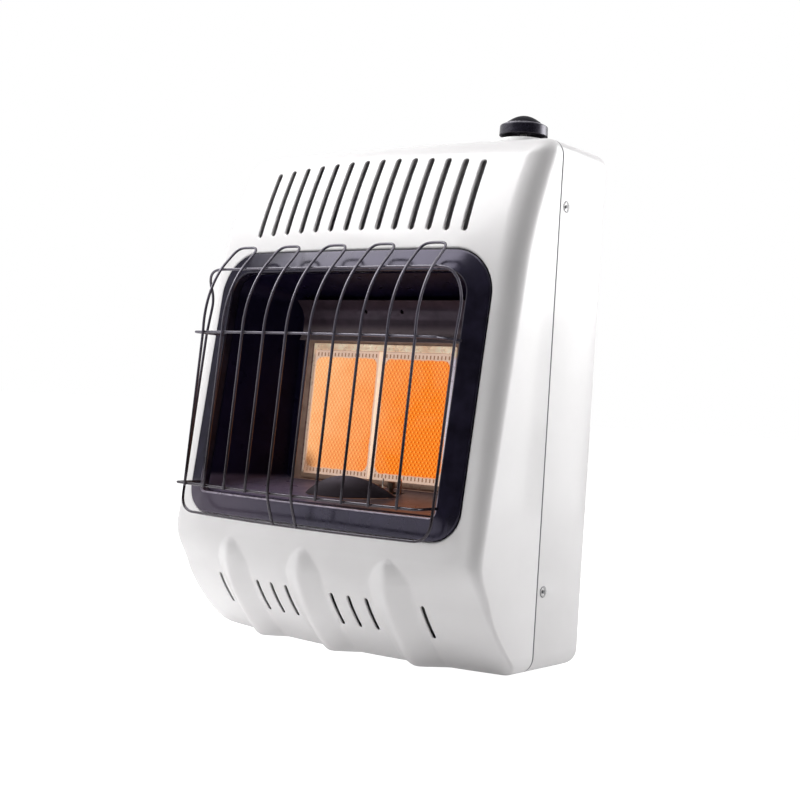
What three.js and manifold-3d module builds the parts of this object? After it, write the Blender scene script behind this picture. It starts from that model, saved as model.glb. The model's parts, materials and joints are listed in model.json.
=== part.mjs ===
// Radiant propane heater: two glowing ceramic plaques in a dark firebox, behind a wire guard,
// in a white steel casing with its control knob on top.
// Millimetres, X to the right, Y to the back, Z up. Everything is laid out with the rear face
// on y = 0, and at the end the heater is moved so that its footprint is centred on the origin.
import * as THREE from 'three'
import { mergeVertices } from 'three/addons/utils/BufferGeometryUtils.js'
import Module from 'manifold-3d'

const wasm = await Module()
wasm.setup()

// General clearances
const fitGap = 0.3
const overrun = 5
const sheet = 1.2
const thinSheet = 1

// Casing
const caseWidth = 447
const caseHeight = 590
const caseCornerRadius = 20
const caseCornerSpans = 5
const seamDepth = 102
const rearEdgeRadius = 9
const rearEdgeSpans = 4
const halfCase = caseWidth / 2

// Front face: a leaning plane with a crown above, a chin below, sides that bow back and soft edges
const crownStart = 440
const faceDepthAtCrown = 196.4
const faceLeanRun = 44.1
const faceLeanHeight = 315
const crownDrop = 34
const crownPower = 1.6
const chinStart = 125
const chinDrop = 99
const chinPower = 1.75
const bowUpper = 15
const bowLower = 31
const bowTurnHigh = 132
const bowTurnLow = 78
const edgeRadiusCrown = 24
const edgeRadiusWaist = 14
const edgeRadiusFoot = 6
const edgeTurnLow = 70

// Stiffening ridges at the foot of the cover
const ridgeSpacing = 116
const ridgeTop = 121
const ridgeHeadLength = 26
const ridgeHalfWidth = 26
const ridgeRiseFoot = 22
const ridgeRiseHead = 9
const ridgeCrestShare = 0.16

// Upper and lower slots of the cover
const upperSlotCount = 14
const upperSlotPitch = 23.2
const upperSlotWidth = 6.6
const upperSlotTop = 570
const upperSlotTopArch = 7.9
const upperSlotFoot = 483.2
const upperSlotFootArch = 3.8
const lowerSlotWidth = 5
const lowerSlotTop = 74.8
const lowerSlotFoot = 38.2
const lowerSlotGroupCentre = 57.3
const lowerSlotPitch = 23.4
const lowerSlotOuter = 149.7

// Bezel round the opening
const bezelHalfWidth = 197
const bezelLow = 146
const bezelHigh = 459
const bezelTopRadius = 52
const bezelFootRadius = 32
const bezelSkirt = 8
const bezelRimRise = 0.6
const bezelBeadWidth = 3
const bezelBeadRise = 2.4
const bezelFlange = 22
const bezelCrestRise = 7.4
const bezelCrestWidth = 3.6
const bezelReturn = 12
const bezelCornerSpans = 6
const bezelAcrossSpans = 6

// Firebox funnel and its back wall, which leans like the burner
const fireboxRecess = 5
const fireboxOverrunShare = 1.05
const backHalfWidth = 132
const backBelowBurner = 86
const backAboveBurner = 137
const backCornerRadius = 8
const burnerHeight = 275
const backLow = burnerHeight - backBelowBurner
const backHigh = burnerHeight + backAboveBurner
const burnerDepth = 123
const burnerLeanRun = 10.4
const burnerLeanHeight = 165
const burnerLean = Math.atan2(burnerLeanRun, burnerLeanHeight)

// Burner, in its own leaning frame with y = 0 on the front of its retaining frame
const frameHalfWidth = 108
const frameTop = 82
const frameFoot = 83
const frameThickness = 1.7
const frameTopStrip = 8
const plaqueWidth = 99
const plaqueTop = 73.5
const plaqueFoot = 77.5
const plaqueThickness = 12
const plaqueRecess = 1.2
const dividerWidth = 6.4
const dividerRecess = 0.5
const housingWall = 1.5
const housingDepth = 45
const housingFlange = 8

// Mixing tube and orifice
const mixerRadius = 11
const mixerWall = 1.2
const mixerMouthRadius = 17
const mixerFlareLength = 22
const mixerLength = 46
const mixerInset = 6
const mixerSetback = 30
const orificeBracketWidth = 24
const orificeBracketThickness = 1.5
const orificeDrop = 15
const orificeNeckRadius = 5
const orificeHexRadius = 8
const orificeHexHeight = 12
const orificeTipLength = 10
const orificeTipRadius = 2.4

// Knob, collar and stem, on one upright axis
const controlInset = 79.3
const controlX = halfCase - controlInset
const controlDepth = 62
const knobPress = 5
const collarRadius = 30
const collarHeight = 9.2
const collarChamfer = 1
const collarBore = 4.6
const collarSpigotRadius = 8.7
const collarSpigotLength = 6
const stemHoleRadius = 9
const knobGap = 5.4
const knobRadius = 28
const knobSide = 10.5
const knobSideInset = 0.3
const knobShoulder = 4
const knobShoulderRise = 5
const knobShoulderSpans = 3
const knobDome = 8.1
const knobWall = 2.8
const knobHubRadius = 8
const knobHubFloor = 2
const knobCeiling = 8
const stemRadius = 4
const stemSocketDepth = 10

// Gas valve on its bracket
const valveWidth = 44
const valveDepth = 40
const valveHeight = 46
const valveSeat = 500
const valveNeckRadius = 12
const valveNeckHeight = 26
const valveBore = 5
const valveBoreFloor = 15
const plungerRadius = 4.6
const plungerLength = 16
const bracketThickness = 1.5
const bracketMargin = 1.2
const bracketLeft = controlX - valveWidth / 2 - bracketMargin
const bracketPiezoMargin = 5
const bracketReach = 84
const bracketRise = 40
const piezoRadius = 9
const piezoLength = 44
const piezoSpacing = 45.8
const piezoX = controlX + piezoSpacing
const piezoDepth = 67
const bracketRight = piezoX + piezoRadius + bracketPiezoMargin
const plungerSpare = 1

// Regulator, its bracket and the gas inlet
const regulatorInset = 63.5
const regulatorX = halfCase - regulatorInset
const regulatorHeight = 70
const regulatorRadius = 28
const regulatorLength = 38
const regulatorBossRadius = 8
const regulatorBossLength = 7
const regulatorStandoff = 21
const channelHalfWidth = 20
const channelHalfHeight = 24
const channelLip = 12
const inletHexRadius = 11
const inletHexHeight = 15
const inletThreadRadius = 8
const inletBore = 4
const inletEndHeight = 4
const inletHoleRadius = 16

// Tubes
const supplyTubeRadius = 4
const burnerTubeRadius = 3
const pilotTubeRadius = 2
const leadRadius = 1.5
const tubeSides = 8
const leadSides = 6
const tubeBend = 14
const bendSpans = 4
const slightTurnDegrees = 28
const sharedRunShare = 0.48
const freeRunShare = 0.95
const riserInset = 11.5
const riserX = halfCase - riserInset
const supplyPortHeight = 23
const supplyPortDepth = 46
const burnerPortHeight = 15
const burnerPortDepth = 50
const pilotPortHeight = 30
const pilotPortDepth = 58
const thermocouplePortHeight = 8
const thermocouplePortDepth = 65
const burnerRunMargin = 13
const pilotRunMargin = 4
const sparkRunMargin = 21
const sparkRunSetback = 24
const burnerRunDrop = 19
const pilotRunDrop = 18
const leadStep = 7

// Pilot and its shield
const pilotX = 51
const pilotDepth = 150
const pilotPitch = 12
const pilotEarLength = 8
const pilotPlateHalfWidth = 21
const pilotPlateReach = 18
const pilotEarWidth = 4
const pilotBurnerRadius = 3
const pilotBurnerRise = 22
const pilotHoodRadius = 4.6
const pilotHoodHeight = 7
const thermocoupleRadius = 2.5
const thermocoupleRise = 27
const electrodeRadius = 2.4
const electrodeTipRadius = 1
const electrodeRise = 25
const electrodeCeramicRise = 15
const pilotRodDrop = 9
const pilotHoleSpare = 1
const shieldCentreX = 18
const shieldCentreDepth = 184
const shieldHalfLength = 56
const shieldTurn = 12
const shieldBulge = 15
const shieldRise = 24
const shieldThickness = 1.4
const shieldEndHeight = 1.2
const shieldLeanBack = 6

// Heat deflector above the burner and heat shield on the back panel
const deflectorHalfWidth = 127
const deflectorMargin = 3
const deflectorFlareHeight = 11
const deflectorFlareReach = 11
const deflectorBendHeight = 10
const deflectorBendReach = 4.5
const deflectorFlat = 18
const deflectorLipDrop = 10
const deflectorLipReach = 6
const deflectorHoleSpacing = 54
const deflectorHoleRadius = 2.4
const deflectorHoleRise = 8
const rearShieldHalfWidth = 132
const rearShieldLow = 150
const rearShieldHigh = 420
const rearShieldStandoff = 15
const rearShieldFoot = 14

// Wire guard
const wireRadius = 1.6
const wireSides = 6
const hairpinCount = 5
const hairpinPitch = 34.4
const guardFootHeight = 181
const guardFootDepth = 284.2
const guardArcHeight = 349.6
const guardArcDepth = 139.3
const guardArcRadius = 130.7
const guardArcStartDegrees = 5
const guardArcEndDegrees = 46.8
const guardArcSpans = 5
const hairpinTopReach = 24.8
const hairpinTopLeanDegrees = 44
const hairpinTopPower = 4
const hairpinTopSpans = 10
const guardHalfWidth = 182
const guardBow = 12
const guardTopBow = 1
const guardBowFade = 80
const midBarHeight = 358.5
const barOverhang = 20
const barBend = 5
const barSpans = 8
const perimeterTopDegrees = 41.9
const perimeterShoulderDrop = 24.5
const perimeterShoulderDepth = 223
const perimeterHighHeight = 400
const perimeterHighDepth = 219.5
const perimeterLowHeight = 170
const perimeterLowDepth = 250
const perimeterFootHeight = 146.5
const perimeterFootDepth = 268.5
const perimeterFootBow = 20
const perimeterCorner = 25
const perimeterSpans = 4

// Case screws
const screwHeadRadius = 6.2
const screwHeadHeight = 2.4
const screwShankRadius = 1.8
const screwShankLength = 7
const screwInset = 12
const screwHigh = 516
const screwLow = 91

// Hanging slots and air inlets of the back panel
const keyholeSpacing = 260
const keyholeHeight = 438
const keyholeRadius = 7
const keyholeSlotWidth = 7
const keyholeSlotLength = 16
const inletSlotCount = 7
const inletSlotPitch = 26
const inletSlotWidth = 8
const inletSlotLength = 60
const inletSlotMargin = 22

const white = { color: 0xe9e7e4, roughness: 0.38, metalness: 0 }
const enamel = { color: 0x15151d, roughness: 0.25, metalness: 0.1 }
const wireBlack = { color: 0x2a2a33, roughness: 0.4, metalness: 0.4 }
const steel = { color: 0xb9bcc0, roughness: 0.35, metalness: 0.9 }
const aluminised = { color: 0x9a9da0, roughness: 0.5, metalness: 0.7 }
const glowing = { color: 0xf58a2e, roughness: 0.9, metalness: 0 }
const paleCeramic = { color: 0xf3dcc0, roughness: 0.9, metalness: 0 }
const blackPlastic = { color: 0x111113, roughness: 0.3, metalness: 0 }
const brass = { color: 0xc9a24a, roughness: 0.35, metalness: 0.9 }
const copper = { color: 0xb87449, roughness: 0.35, metalness: 0.9 }
const aluminium = { color: 0xc4c6c8, roughness: 0.4, metalness: 0.8 }
const redLead = { color: 0x9a2f26, roughness: 0.6, metalness: 0 }
const castGrey = { color: 0x8f9296, roughness: 0.55, metalness: 0.5 }
const darkShield = { color: 0x241c18, roughness: 0.55, metalness: 0.3 }

const group = new THREE.Group()

// Helpers that turn three.js geometry into solids and back

function signedVolume(geometry) {
  const p = geometry.attributes.position
  const index = geometry.index
  const a = new THREE.Vector3()
  const b = new THREE.Vector3()
  const c = new THREE.Vector3()
  let volume = 0
  for (let i = 0; i < index.count; i += 3) {
    a.fromBufferAttribute(p, index.getX(i))
    b.fromBufferAttribute(p, index.getX(i + 1))
    c.fromBufferAttribute(p, index.getX(i + 2))
    volume += a.dot(b.cross(c))
  }
  return volume
}

function closedMesh(geometry) {
  const bare = geometry.clone()
  bare.deleteAttribute('normal')
  bare.deleteAttribute('uv')
  const merged = mergeVertices(bare)
  if (signedVolume(merged) < 0) {
    const array = merged.index.array
    for (let i = 0; i < array.length; i += 3) {
      const first = array[i]
      array[i] = array[i + 1]
      array[i + 1] = first
    }
  }
  return merged
}

function solid(geometry) {
  const merged = closedMesh(geometry)
  return new wasm.Manifold(new wasm.Mesh({
    numProp: 3,
    vertProperties: new Float32Array(merged.attributes.position.array),
    triVerts: new Uint32Array(merged.index.array),
  }))
}

function geometryOf(manifold) {
  const mesh = manifold.getMesh()
  const geometry = new THREE.BufferGeometry()
  geometry.setAttribute('position', new THREE.BufferAttribute(new Float32Array(mesh.vertProperties), 3))
  geometry.setIndex(new THREE.BufferAttribute(new Uint32Array(mesh.triVerts), 1))
  return geometry
}

// Joins several geometries into one solid
function joined(...geometries) {
  return geometries.map(solid).reduce((whole, piece) => whole.add(piece))
}

// Cuts several geometries out of a solid
function cut(manifold, ...geometries) {
  return geometries.map(solid).reduce((rest, piece) => rest.subtract(piece), manifold)
}

function addPart(name, shape, look) {
  const geometry = shape instanceof THREE.BufferGeometry ? closedMesh(shape) : geometryOf(shape)
  geometry.computeVertexNormals()
  const mesh = new THREE.Mesh(geometry, new THREE.MeshStandardMaterial(look))
  mesh.name = name
  group.add(mesh)
  return mesh
}

// Simple solids, placed by their bounds or their axis

function block(x0, x1, y0, y1, z0, z1) {
  const box = new THREE.BoxGeometry(Math.abs(x1 - x0), Math.abs(y1 - y0), Math.abs(z1 - z0))
  return box.translate((x0 + x1) / 2, (y0 + y1) / 2, (z0 + z1) / 2)
}

function upright(radius, x, y, z0, z1, sides = 20) {
  const cylinder = new THREE.CylinderGeometry(radius, radius, z1 - z0, sides)
  return cylinder.rotateX(Math.PI / 2).translate(x, y, (z0 + z1) / 2)
}

function acrossY(radius, x, z, y0, y1, sides = 20) {
  const cylinder = new THREE.CylinderGeometry(radius, radius, Math.abs(y1 - y0), sides)
  return cylinder.translate(x, (y0 + y1) / 2, z)
}

function acrossX(radius, y, z, x0, x1, sides = 16) {
  const cylinder = new THREE.CylinderGeometry(radius, radius, Math.abs(x1 - x0), sides)
  return cylinder.rotateZ(Math.PI / 2).translate((x0 + x1) / 2, y, z)
}

// A lathe about an upright axis, its profile given as [radius, height] pairs
function turned(profile, x, y, sides) {
  const points = profile.map(([radius, height]) => new THREE.Vector2(radius, height))
  return new THREE.LatheGeometry(points, sides).rotateX(Math.PI / 2).translate(x, y, 0)
}

// An outline in x and z, extruded from y = yBack forward to y = yFront
function plateXZ(points, yBack, yFront) {
  const shape = new THREE.Shape(points.map(([x, z]) => new THREE.Vector2(x, z)))
  const plate = new THREE.ExtrudeGeometry(shape, { depth: yBack - yFront, bevelEnabled: false })
  return plate.rotateX(Math.PI / 2).translate(0, yBack, 0)
}

// An outline in y and z, extruded from x0 to x1
function profileYZ(points, x0, x1) {
  const shape = new THREE.Shape(points.map(([y, z]) => new THREE.Vector2(y, z)))
  const bar = new THREE.ExtrudeGeometry(shape, { depth: x1 - x0, bevelEnabled: false })
  return bar.rotateX(Math.PI / 2).rotateZ(Math.PI / 2).translate(x0, 0, 0)
}

// An outline in x and y, extruded from z0 to z1
function profileXY(points, z0, z1) {
  const shape = new THREE.Shape(points.map(([x, y]) => new THREE.Vector2(x, y)))
  return new THREE.ExtrudeGeometry(shape, { depth: z1 - z0, bevelEnabled: false }).translate(0, 0, z0)
}

// An upright slot with round ends, as an outline in x and z
function slotOutline(x, low, high, width, steps = 4) {
  const radius = width / 2
  const points = []
  for (let k = 0; k <= steps; k++) {
    const angle = Math.PI * k / steps
    points.push([x + radius * Math.cos(angle), high - radius + radius * Math.sin(angle)])
  }
  for (let k = 0; k <= steps; k++) {
    const angle = Math.PI + Math.PI * k / steps
    points.push([x + radius * Math.cos(angle), low + radius + radius * Math.sin(angle)])
  }
  return points
}

// A path of stations, so that a straight run is one step of the tube along it
class StationPath extends THREE.Curve {
  constructor(stations) {
    super()
    this.stations = stations
  }

  getPoint(t) {
    const place = t * (this.stations.length - 1)
    const i = Math.min(Math.floor(place), this.stations.length - 2)
    return this.stations[i].clone().lerp(this.stations[i + 1], place - i)
  }

  getPointAt(u) {
    return this.getPoint(u)
  }

  getTangentAt(u) {
    const last = this.stations.length - 1
    const i = Math.round(u * last)
    const here = this.stations[i]
    const into = i > 0 ? here.clone().sub(this.stations[i - 1]).normalize() : new THREE.Vector3()
    const out = i < last ? this.stations[i + 1].clone().sub(here).normalize() : new THREE.Vector3()
    return into.add(out).normalize()
  }
}

// A path of straight runs. Corners are rounded over bendLength on each side, slight turns are kept.
// A run between two rounded corners is shared by them, and any other run is free for the one bend.
function bentPath(points, bendLength) {
  const slightTurn = THREE.MathUtils.degToRad(slightTurnDegrees)
  const runs = points.slice(1).map((point, i) => point.clone().sub(points[i]))
  const bends = points.map((_, i) => i > 0 && i < runs.length && runs[i - 1].angleTo(runs[i]) > slightTurn)
  const room = runs.map((run, i) => run.length() * (bends[i] && bends[i + 1] ? sharedRunShare : freeRunShare))
  const stations = points.flatMap((corner, i) => {
    if (!bends[i]) return [corner]
    const reach = Math.min(bendLength, room[i - 1], room[i])
    const start = corner.clone().addScaledVector(runs[i - 1].clone().normalize(), -reach)
    const end = corner.clone().addScaledVector(runs[i].clone().normalize(), reach)
    return new THREE.QuadraticBezierCurve3(start, corner, end).getPoints(bendSpans)
  })
  return new StationPath(stations)
}

// The outline of a bent sheet: its one face as given, and the other face moved over by the thickness
function sheetOutline(face, thickness) {
  const normals = face.slice(1).map(([a, b], i) => {
    const [a0, b0] = face[i]
    const length = Math.hypot(a - a0, b - b0)
    return [(b0 - b) / length, (a - a0) / length]
  })
  const other = face.map(([a, b], i) => {
    const before = normals[Math.max(i - 1, 0)]
    const after = normals[Math.min(i, normals.length - 1)]
    const reach = thickness / (1 + before[0] * after[0] + before[1] * after[1])
    return [a + (before[0] + after[0]) * reach, b + (before[1] + after[1]) * reach]
  })
  return [...face, ...other.reverse()]
}

// A tube along a path
function tube(path, radius, sides = tubeSides) {
  const section = new THREE.Shape()
  for (let k = 0; k < sides; k++) {
    const angle = 2 * Math.PI * (k + 0.5) / sides
    const point = [radius * Math.cos(angle), radius * Math.sin(angle)]
    if (k === 0) section.moveTo(...point)
    else section.lineTo(...point)
  }
  section.closePath()
  const steps = path.stations.length - 1
  return new THREE.ExtrudeGeometry(section, { steps, extrudePath: path, bevelEnabled: false })
}

// A closed surface through rings of equal count, capped at both ends or closed on itself
function loft(rings, closed = false) {
  const count = rings[0].length
  const positions = []
  const triangle = (a, b, c) => {
    for (const p of [a, b, c]) positions.push(p.x, p.y, p.z)
  }
  const spans = closed ? rings.length : rings.length - 1
  for (let i = 0; i < spans; i++) {
    const near = rings[i]
    const far = rings[(i + 1) % rings.length]
    for (let j = 0; j < count; j++) {
      const k = (j + 1) % count
      triangle(near[j], near[k], far[k])
      triangle(near[j], far[k], far[j])
    }
  }
  if (!closed) {
    const middle = (ring) => ring.reduce((sum, p) => sum.add(p), new THREE.Vector3()).divideScalar(count)
    const first = middle(rings[0])
    const last = middle(rings[rings.length - 1])
    for (let j = 0; j < count; j++) {
      const k = (j + 1) % count
      triangle(rings[0][k], rings[0][j], first)
      triangle(rings[rings.length - 1][j], rings[rings.length - 1][k], last)
    }
  }
  const geometry = new THREE.BufferGeometry()
  geometry.setAttribute('position', new THREE.Float32BufferAttribute(positions, 3))
  return geometry
}

// Rounded rectangles in the x, z plane

const caseFrame = {
  halfWidth: halfCase,
  low: 0,
  high: caseHeight,
  topRadius: caseCornerRadius,
  footRadius: caseCornerRadius,
}
const bezelFrame = {
  halfWidth: bezelHalfWidth,
  low: bezelLow,
  high: bezelHigh,
  topRadius: bezelTopRadius,
  footRadius: bezelFootRadius,
}
const backFrame = {
  halfWidth: backHalfWidth,
  low: backLow,
  high: backHigh,
  topRadius: backCornerRadius,
  footRadius: backCornerRadius,
}

function insetFrame(frame, inset) {
  return {
    halfWidth: frame.halfWidth - inset,
    low: frame.low + inset,
    high: frame.high - inset,
    topRadius: Math.max(frame.topRadius - inset, fitGap),
    footRadius: Math.max(frame.footRadius - inset, fitGap),
  }
}

// Points round a frame, anticlockwise from the front, with spans on each corner and each side
function frameOutline(frame, cornerSpans, acrossSpans, upSpans) {
  const { halfWidth, low, high, topRadius, footRadius } = frame
  const corners = [
    [halfWidth - footRadius, low + footRadius, footRadius, -0.5, upSpans],
    [halfWidth - topRadius, high - topRadius, topRadius, 0, acrossSpans],
    [topRadius - halfWidth, high - topRadius, topRadius, 0.5, upSpans],
    [footRadius - halfWidth, low + footRadius, footRadius, 1, acrossSpans],
  ]
  const arcs = corners.map(([x, z, radius, start]) => {
    const arc = []
    for (let k = 0; k <= cornerSpans; k++) {
      const angle = Math.PI * (start + 0.5 * k / cornerSpans)
      arc.push([x + radius * Math.cos(angle), z + radius * Math.sin(angle)])
    }
    return arc
  })
  const points = []
  arcs.forEach((arc, i) => {
    points.push(...arc)
    const spans = corners[i][4]
    const [x0, z0] = arc[arc.length - 1]
    const [x1, z1] = arcs[(i + 1) % arcs.length][0]
    for (let k = 1; k < spans; k++) points.push([x0 + (x1 - x0) * k / spans, z0 + (z1 - z0) * k / spans])
  })
  return points
}

// The shape of the front face

const clamp01 = (value) => Math.min(Math.max(value, 0), 1)
const between = (a, b, share) => a + (b - a) * clamp01(share)

function smoothBetween(a, b, share) {
  const s = clamp01(share)
  return a + (b - a) * s * s * (3 - 2 * s)
}

function faceDepth(x, z) {
  const leaning = faceDepthAtCrown + faceLeanRun * (crownStart - z) / faceLeanHeight
  const crown = crownDrop * clamp01((z - crownStart) / (caseHeight - crownStart)) ** crownPower
  const chin = chinDrop * clamp01((chinStart - z) / chinStart) ** chinPower
  const bow = smoothBetween(bowLower, bowUpper, (z - bowTurnLow) / (bowTurnHigh - bowTurnLow))
  return leaning - crown - chin - bow * (x / halfCase) ** 2
}

function edgeRadius(z) {
  if (z > chinStart) {
    return between(edgeRadiusWaist, edgeRadiusCrown, (z - chinStart) / (crownStart - chinStart))
  }
  return between(edgeRadiusFoot, edgeRadiusWaist, (z - edgeTurnLow) / (chinStart - edgeTurnLow))
}

// How far a point lies inside the casing's outline
function insideOutline(x, z) {
  const dx = Math.abs(x) - (halfCase - caseCornerRadius)
  const dz = Math.abs(z - caseHeight / 2) - (caseHeight / 2 - caseCornerRadius)
  const outer = Math.hypot(Math.max(dx, 0), Math.max(dz, 0)) + Math.min(Math.max(dx, dz), 0)
  return Math.max(caseCornerRadius - outer, 0)
}

function edgeDrop(x, z) {
  const radius = edgeRadius(z)
  const inside = insideOutline(x, z)
  if (inside >= radius) return 0
  return radius - Math.sqrt(radius ** 2 - (radius - inside) ** 2)
}

// A rounded tent of height 1 over the span from -1 to 1
function tent(u) {
  if (Math.abs(u) >= 1) return 0
  const edge = Math.hypot(1, ridgeCrestShare)
  return (edge - Math.hypot(u, ridgeCrestShare)) / (edge - ridgeCrestShare)
}

function ridgeRise(x, z) {
  if (z >= ridgeTop) return 0
  const head = Math.sqrt(clamp01((ridgeTop - z) / ridgeHeadLength))
  const rise = between(ridgeRiseFoot, ridgeRiseHead, z / (ridgeTop - ridgeHeadLength)) * head
  const offsets = [-ridgeSpacing, 0, ridgeSpacing]
  return offsets.reduce((sum, centre) => sum + rise * tent((x - centre) / (ridgeHalfWidth * head)), 0)
}

const coverDepth = (x, z) => faceDepth(x, z) - edgeDrop(x, z) + ridgeRise(x, z)

// Front cover: a grid of nodes over the outline, offset inward for the inner skin

const filletShares = [0, 0.12, 0.38, 0.7, 1]

// Heights of the grid's rows: soft bottom edge, chin, face, crown, soft top edge
function coverRows() {
  const rows = [0, 0.3, 1].map((share) => share * edgeRadiusFoot)
  const chinRows = 10
  for (let k = 1; k <= chinRows; k++) {
    rows.push(edgeRadiusFoot + (chinStart - edgeRadiusFoot) * k / chinRows)
  }
  const faceRows = 4
  for (let k = 1; k <= faceRows; k++) rows.push(chinStart + (crownStart - chinStart) * k / faceRows)
  const crownRows = 6
  const crownEnd = caseHeight - edgeRadiusCrown
  for (let k = 1; k <= crownRows; k++) rows.push(crownStart + (crownEnd - crownStart) * k / crownRows)
  for (const share of [...filletShares].reverse().slice(1)) rows.push(caseHeight - edgeRadiusCrown * share)
  return rows
}

// Places across the cover where the ridges need nodes, as shares of the flat half width
function coverColumns() {
  const shares = [-1, -0.5, -ridgeCrestShare, ridgeCrestShare, 0.5, 1]
  const columns = [-ridgeSpacing, 0, ridgeSpacing].flatMap(
    (centre) => shares.map((share) => centre + share * ridgeHalfWidth))
  const flank = (ridgeSpacing + ridgeHalfWidth + halfCase - edgeRadiusCrown) / 2
  columns.push(-ridgeSpacing / 2, ridgeSpacing / 2, -flank, flank)
  return columns.sort((a, b) => a - b)
}

function halfWidthAt(z) {
  const over = Math.max(Math.abs(z - caseHeight / 2) - (caseHeight / 2 - caseCornerRadius), 0)
  return halfCase - caseCornerRadius + Math.sqrt(Math.max(caseCornerRadius ** 2 - over ** 2, 0))
}

// The outward normal of the cover's skin, level where the skin meets its sides
function skinNormal(x, z, step = caseHeight / 20000) {
  if (insideOutline(x, z) < step) {
    const cx = Math.sign(x) * Math.min(Math.abs(x), halfCase - caseCornerRadius)
    const cz = Math.min(Math.max(z, caseCornerRadius), caseHeight - caseCornerRadius)
    const level = new THREE.Vector3(x - cx, 0, z - cz)
    if (level.length() > step) return level.normalize()
    return new THREE.Vector3(0, 0, z > caseHeight / 2 ? 1 : -1)
  }
  const slopeX = (coverDepth(x + step, z) - coverDepth(x - step, z)) / (2 * step)
  const slopeZ = (coverDepth(x, z + step) - coverDepth(x, z - step)) / (2 * step)
  return new THREE.Vector3(-slopeX, -1, -slopeZ).normalize()
}

function buildCoverShell() {
  const rows = coverRows()
  const inner = coverColumns()
  const flat = halfCase - edgeRadiusCrown
  const outerSkin = rows.map((z) => {
    const width = halfWidthAt(z)
    const radius = edgeRadius(z)
    const edge = filletShares.map((share) => width - radius * share)
    const span = (width - radius) / flat
    const xs = [...edge.map((x) => -x), ...inner.map((x) => x * span), ...edge.reverse()]
    return xs.map((x) => new THREE.Vector3(x, -coverDepth(x, z), z))
  })
  const innerSkin = outerSkin.map((row) => row.map(
    (p) => p.clone().addScaledVector(skinNormal(p.x, p.z), -sheet)))
  const positions = []
  const triangle = (a, b, c) => {
    for (const p of [a, b, c]) positions.push(p.x, p.y, p.z)
  }
  const quad = (a, b, c, d) => {
    triangle(a, b, c)
    triangle(a, c, d)
  }
  const last = rows.length - 1
  const columns = outerSkin[0].length
  for (let i = 0; i < last; i++) {
    for (let j = 0; j < columns - 1; j++) {
      quad(outerSkin[i][j], outerSkin[i][j + 1], outerSkin[i + 1][j + 1], outerSkin[i + 1][j])
      quad(innerSkin[i][j], innerSkin[i + 1][j], innerSkin[i + 1][j + 1], innerSkin[i][j + 1])
    }
  }
  // Sides back to the seam, then the rim that joins the two skins
  const border = (skin) => [
    ...skin[0],
    ...skin.slice(1, last).map((row) => row[columns - 1]),
    ...[...skin[last]].reverse(),
    ...skin.slice(1, last).map((row) => row[0]).reverse(),
  ]
  const atSeam = (p) => new THREE.Vector3(p.x, -seamDepth - fitGap, p.z)
  const outerBorder = border(outerSkin)
  const innerBorder = border(innerSkin)
  for (let j = 0; j < outerBorder.length; j++) {
    const k = (j + 1) % outerBorder.length
    const [a, b, c, d] = [outerBorder[j], outerBorder[k], innerBorder[j], innerBorder[k]]
    quad(b, a, atSeam(a), atSeam(b))
    quad(c, d, atSeam(d), atSeam(c))
    quad(atSeam(b), atSeam(a), atSeam(c), atSeam(d))
  }
  const geometry = new THREE.BufferGeometry()
  geometry.setAttribute('position', new THREE.Float32BufferAttribute(positions, 3))
  return geometry
}

function buildFrontCover() {
  const front = -faceDepth(0, chinStart) - ridgeRiseFoot - overrun
  const back = -seamDepth - edgeRadiusFoot
  const opening = frameOutline(insetFrame(bezelFrame, -fitGap), bezelCornerSpans, 1, 1)
  const holes = [plateXZ(opening, back, front)]
  for (let i = 0; i < upperSlotCount; i++) {
    const place = i - (upperSlotCount - 1) / 2
    const arch = (place / ((upperSlotCount - 1) / 2)) ** 2
    const low = upperSlotFoot - upperSlotFootArch * arch
    const high = upperSlotTop - upperSlotTopArch * arch
    holes.push(plateXZ(slotOutline(place * upperSlotPitch, low, high, upperSlotWidth), back, front))
  }
  const lowerPlaces = [-lowerSlotOuter, lowerSlotOuter]
  for (const centre of [-lowerSlotGroupCentre, lowerSlotGroupCentre]) {
    for (const step of [-1, 0, 1]) lowerPlaces.push(centre + step * lowerSlotPitch)
  }
  for (const x of lowerPlaces) {
    holes.push(plateXZ(slotOutline(x, lowerSlotFoot, lowerSlotTop, lowerSlotWidth), back, front))
  }
  addPart('front_cover', cut(solid(buildCoverShell()), ...holes), white)
}

// Rear case: a pan with rounded rear edges, tabs for the side screws, hanging slots and air inlets

function casePan(inset, rearY, edge, frontY) {
  const ring = (extraInset, y) => frameOutline(insetFrame(caseFrame, inset + extraInset), caseCornerSpans, 1, 1)
    .map(([x, z]) => new THREE.Vector3(x, y, z))
  const rings = []
  for (let k = 0; k <= rearEdgeSpans; k++) {
    const angle = Math.PI / 2 * k / rearEdgeSpans
    rings.push(ring(edge * (1 - Math.sin(angle)), rearY - edge * (1 - Math.cos(angle))))
  }
  rings.push(ring(0, frontY))
  return loft(rings)
}

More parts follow.
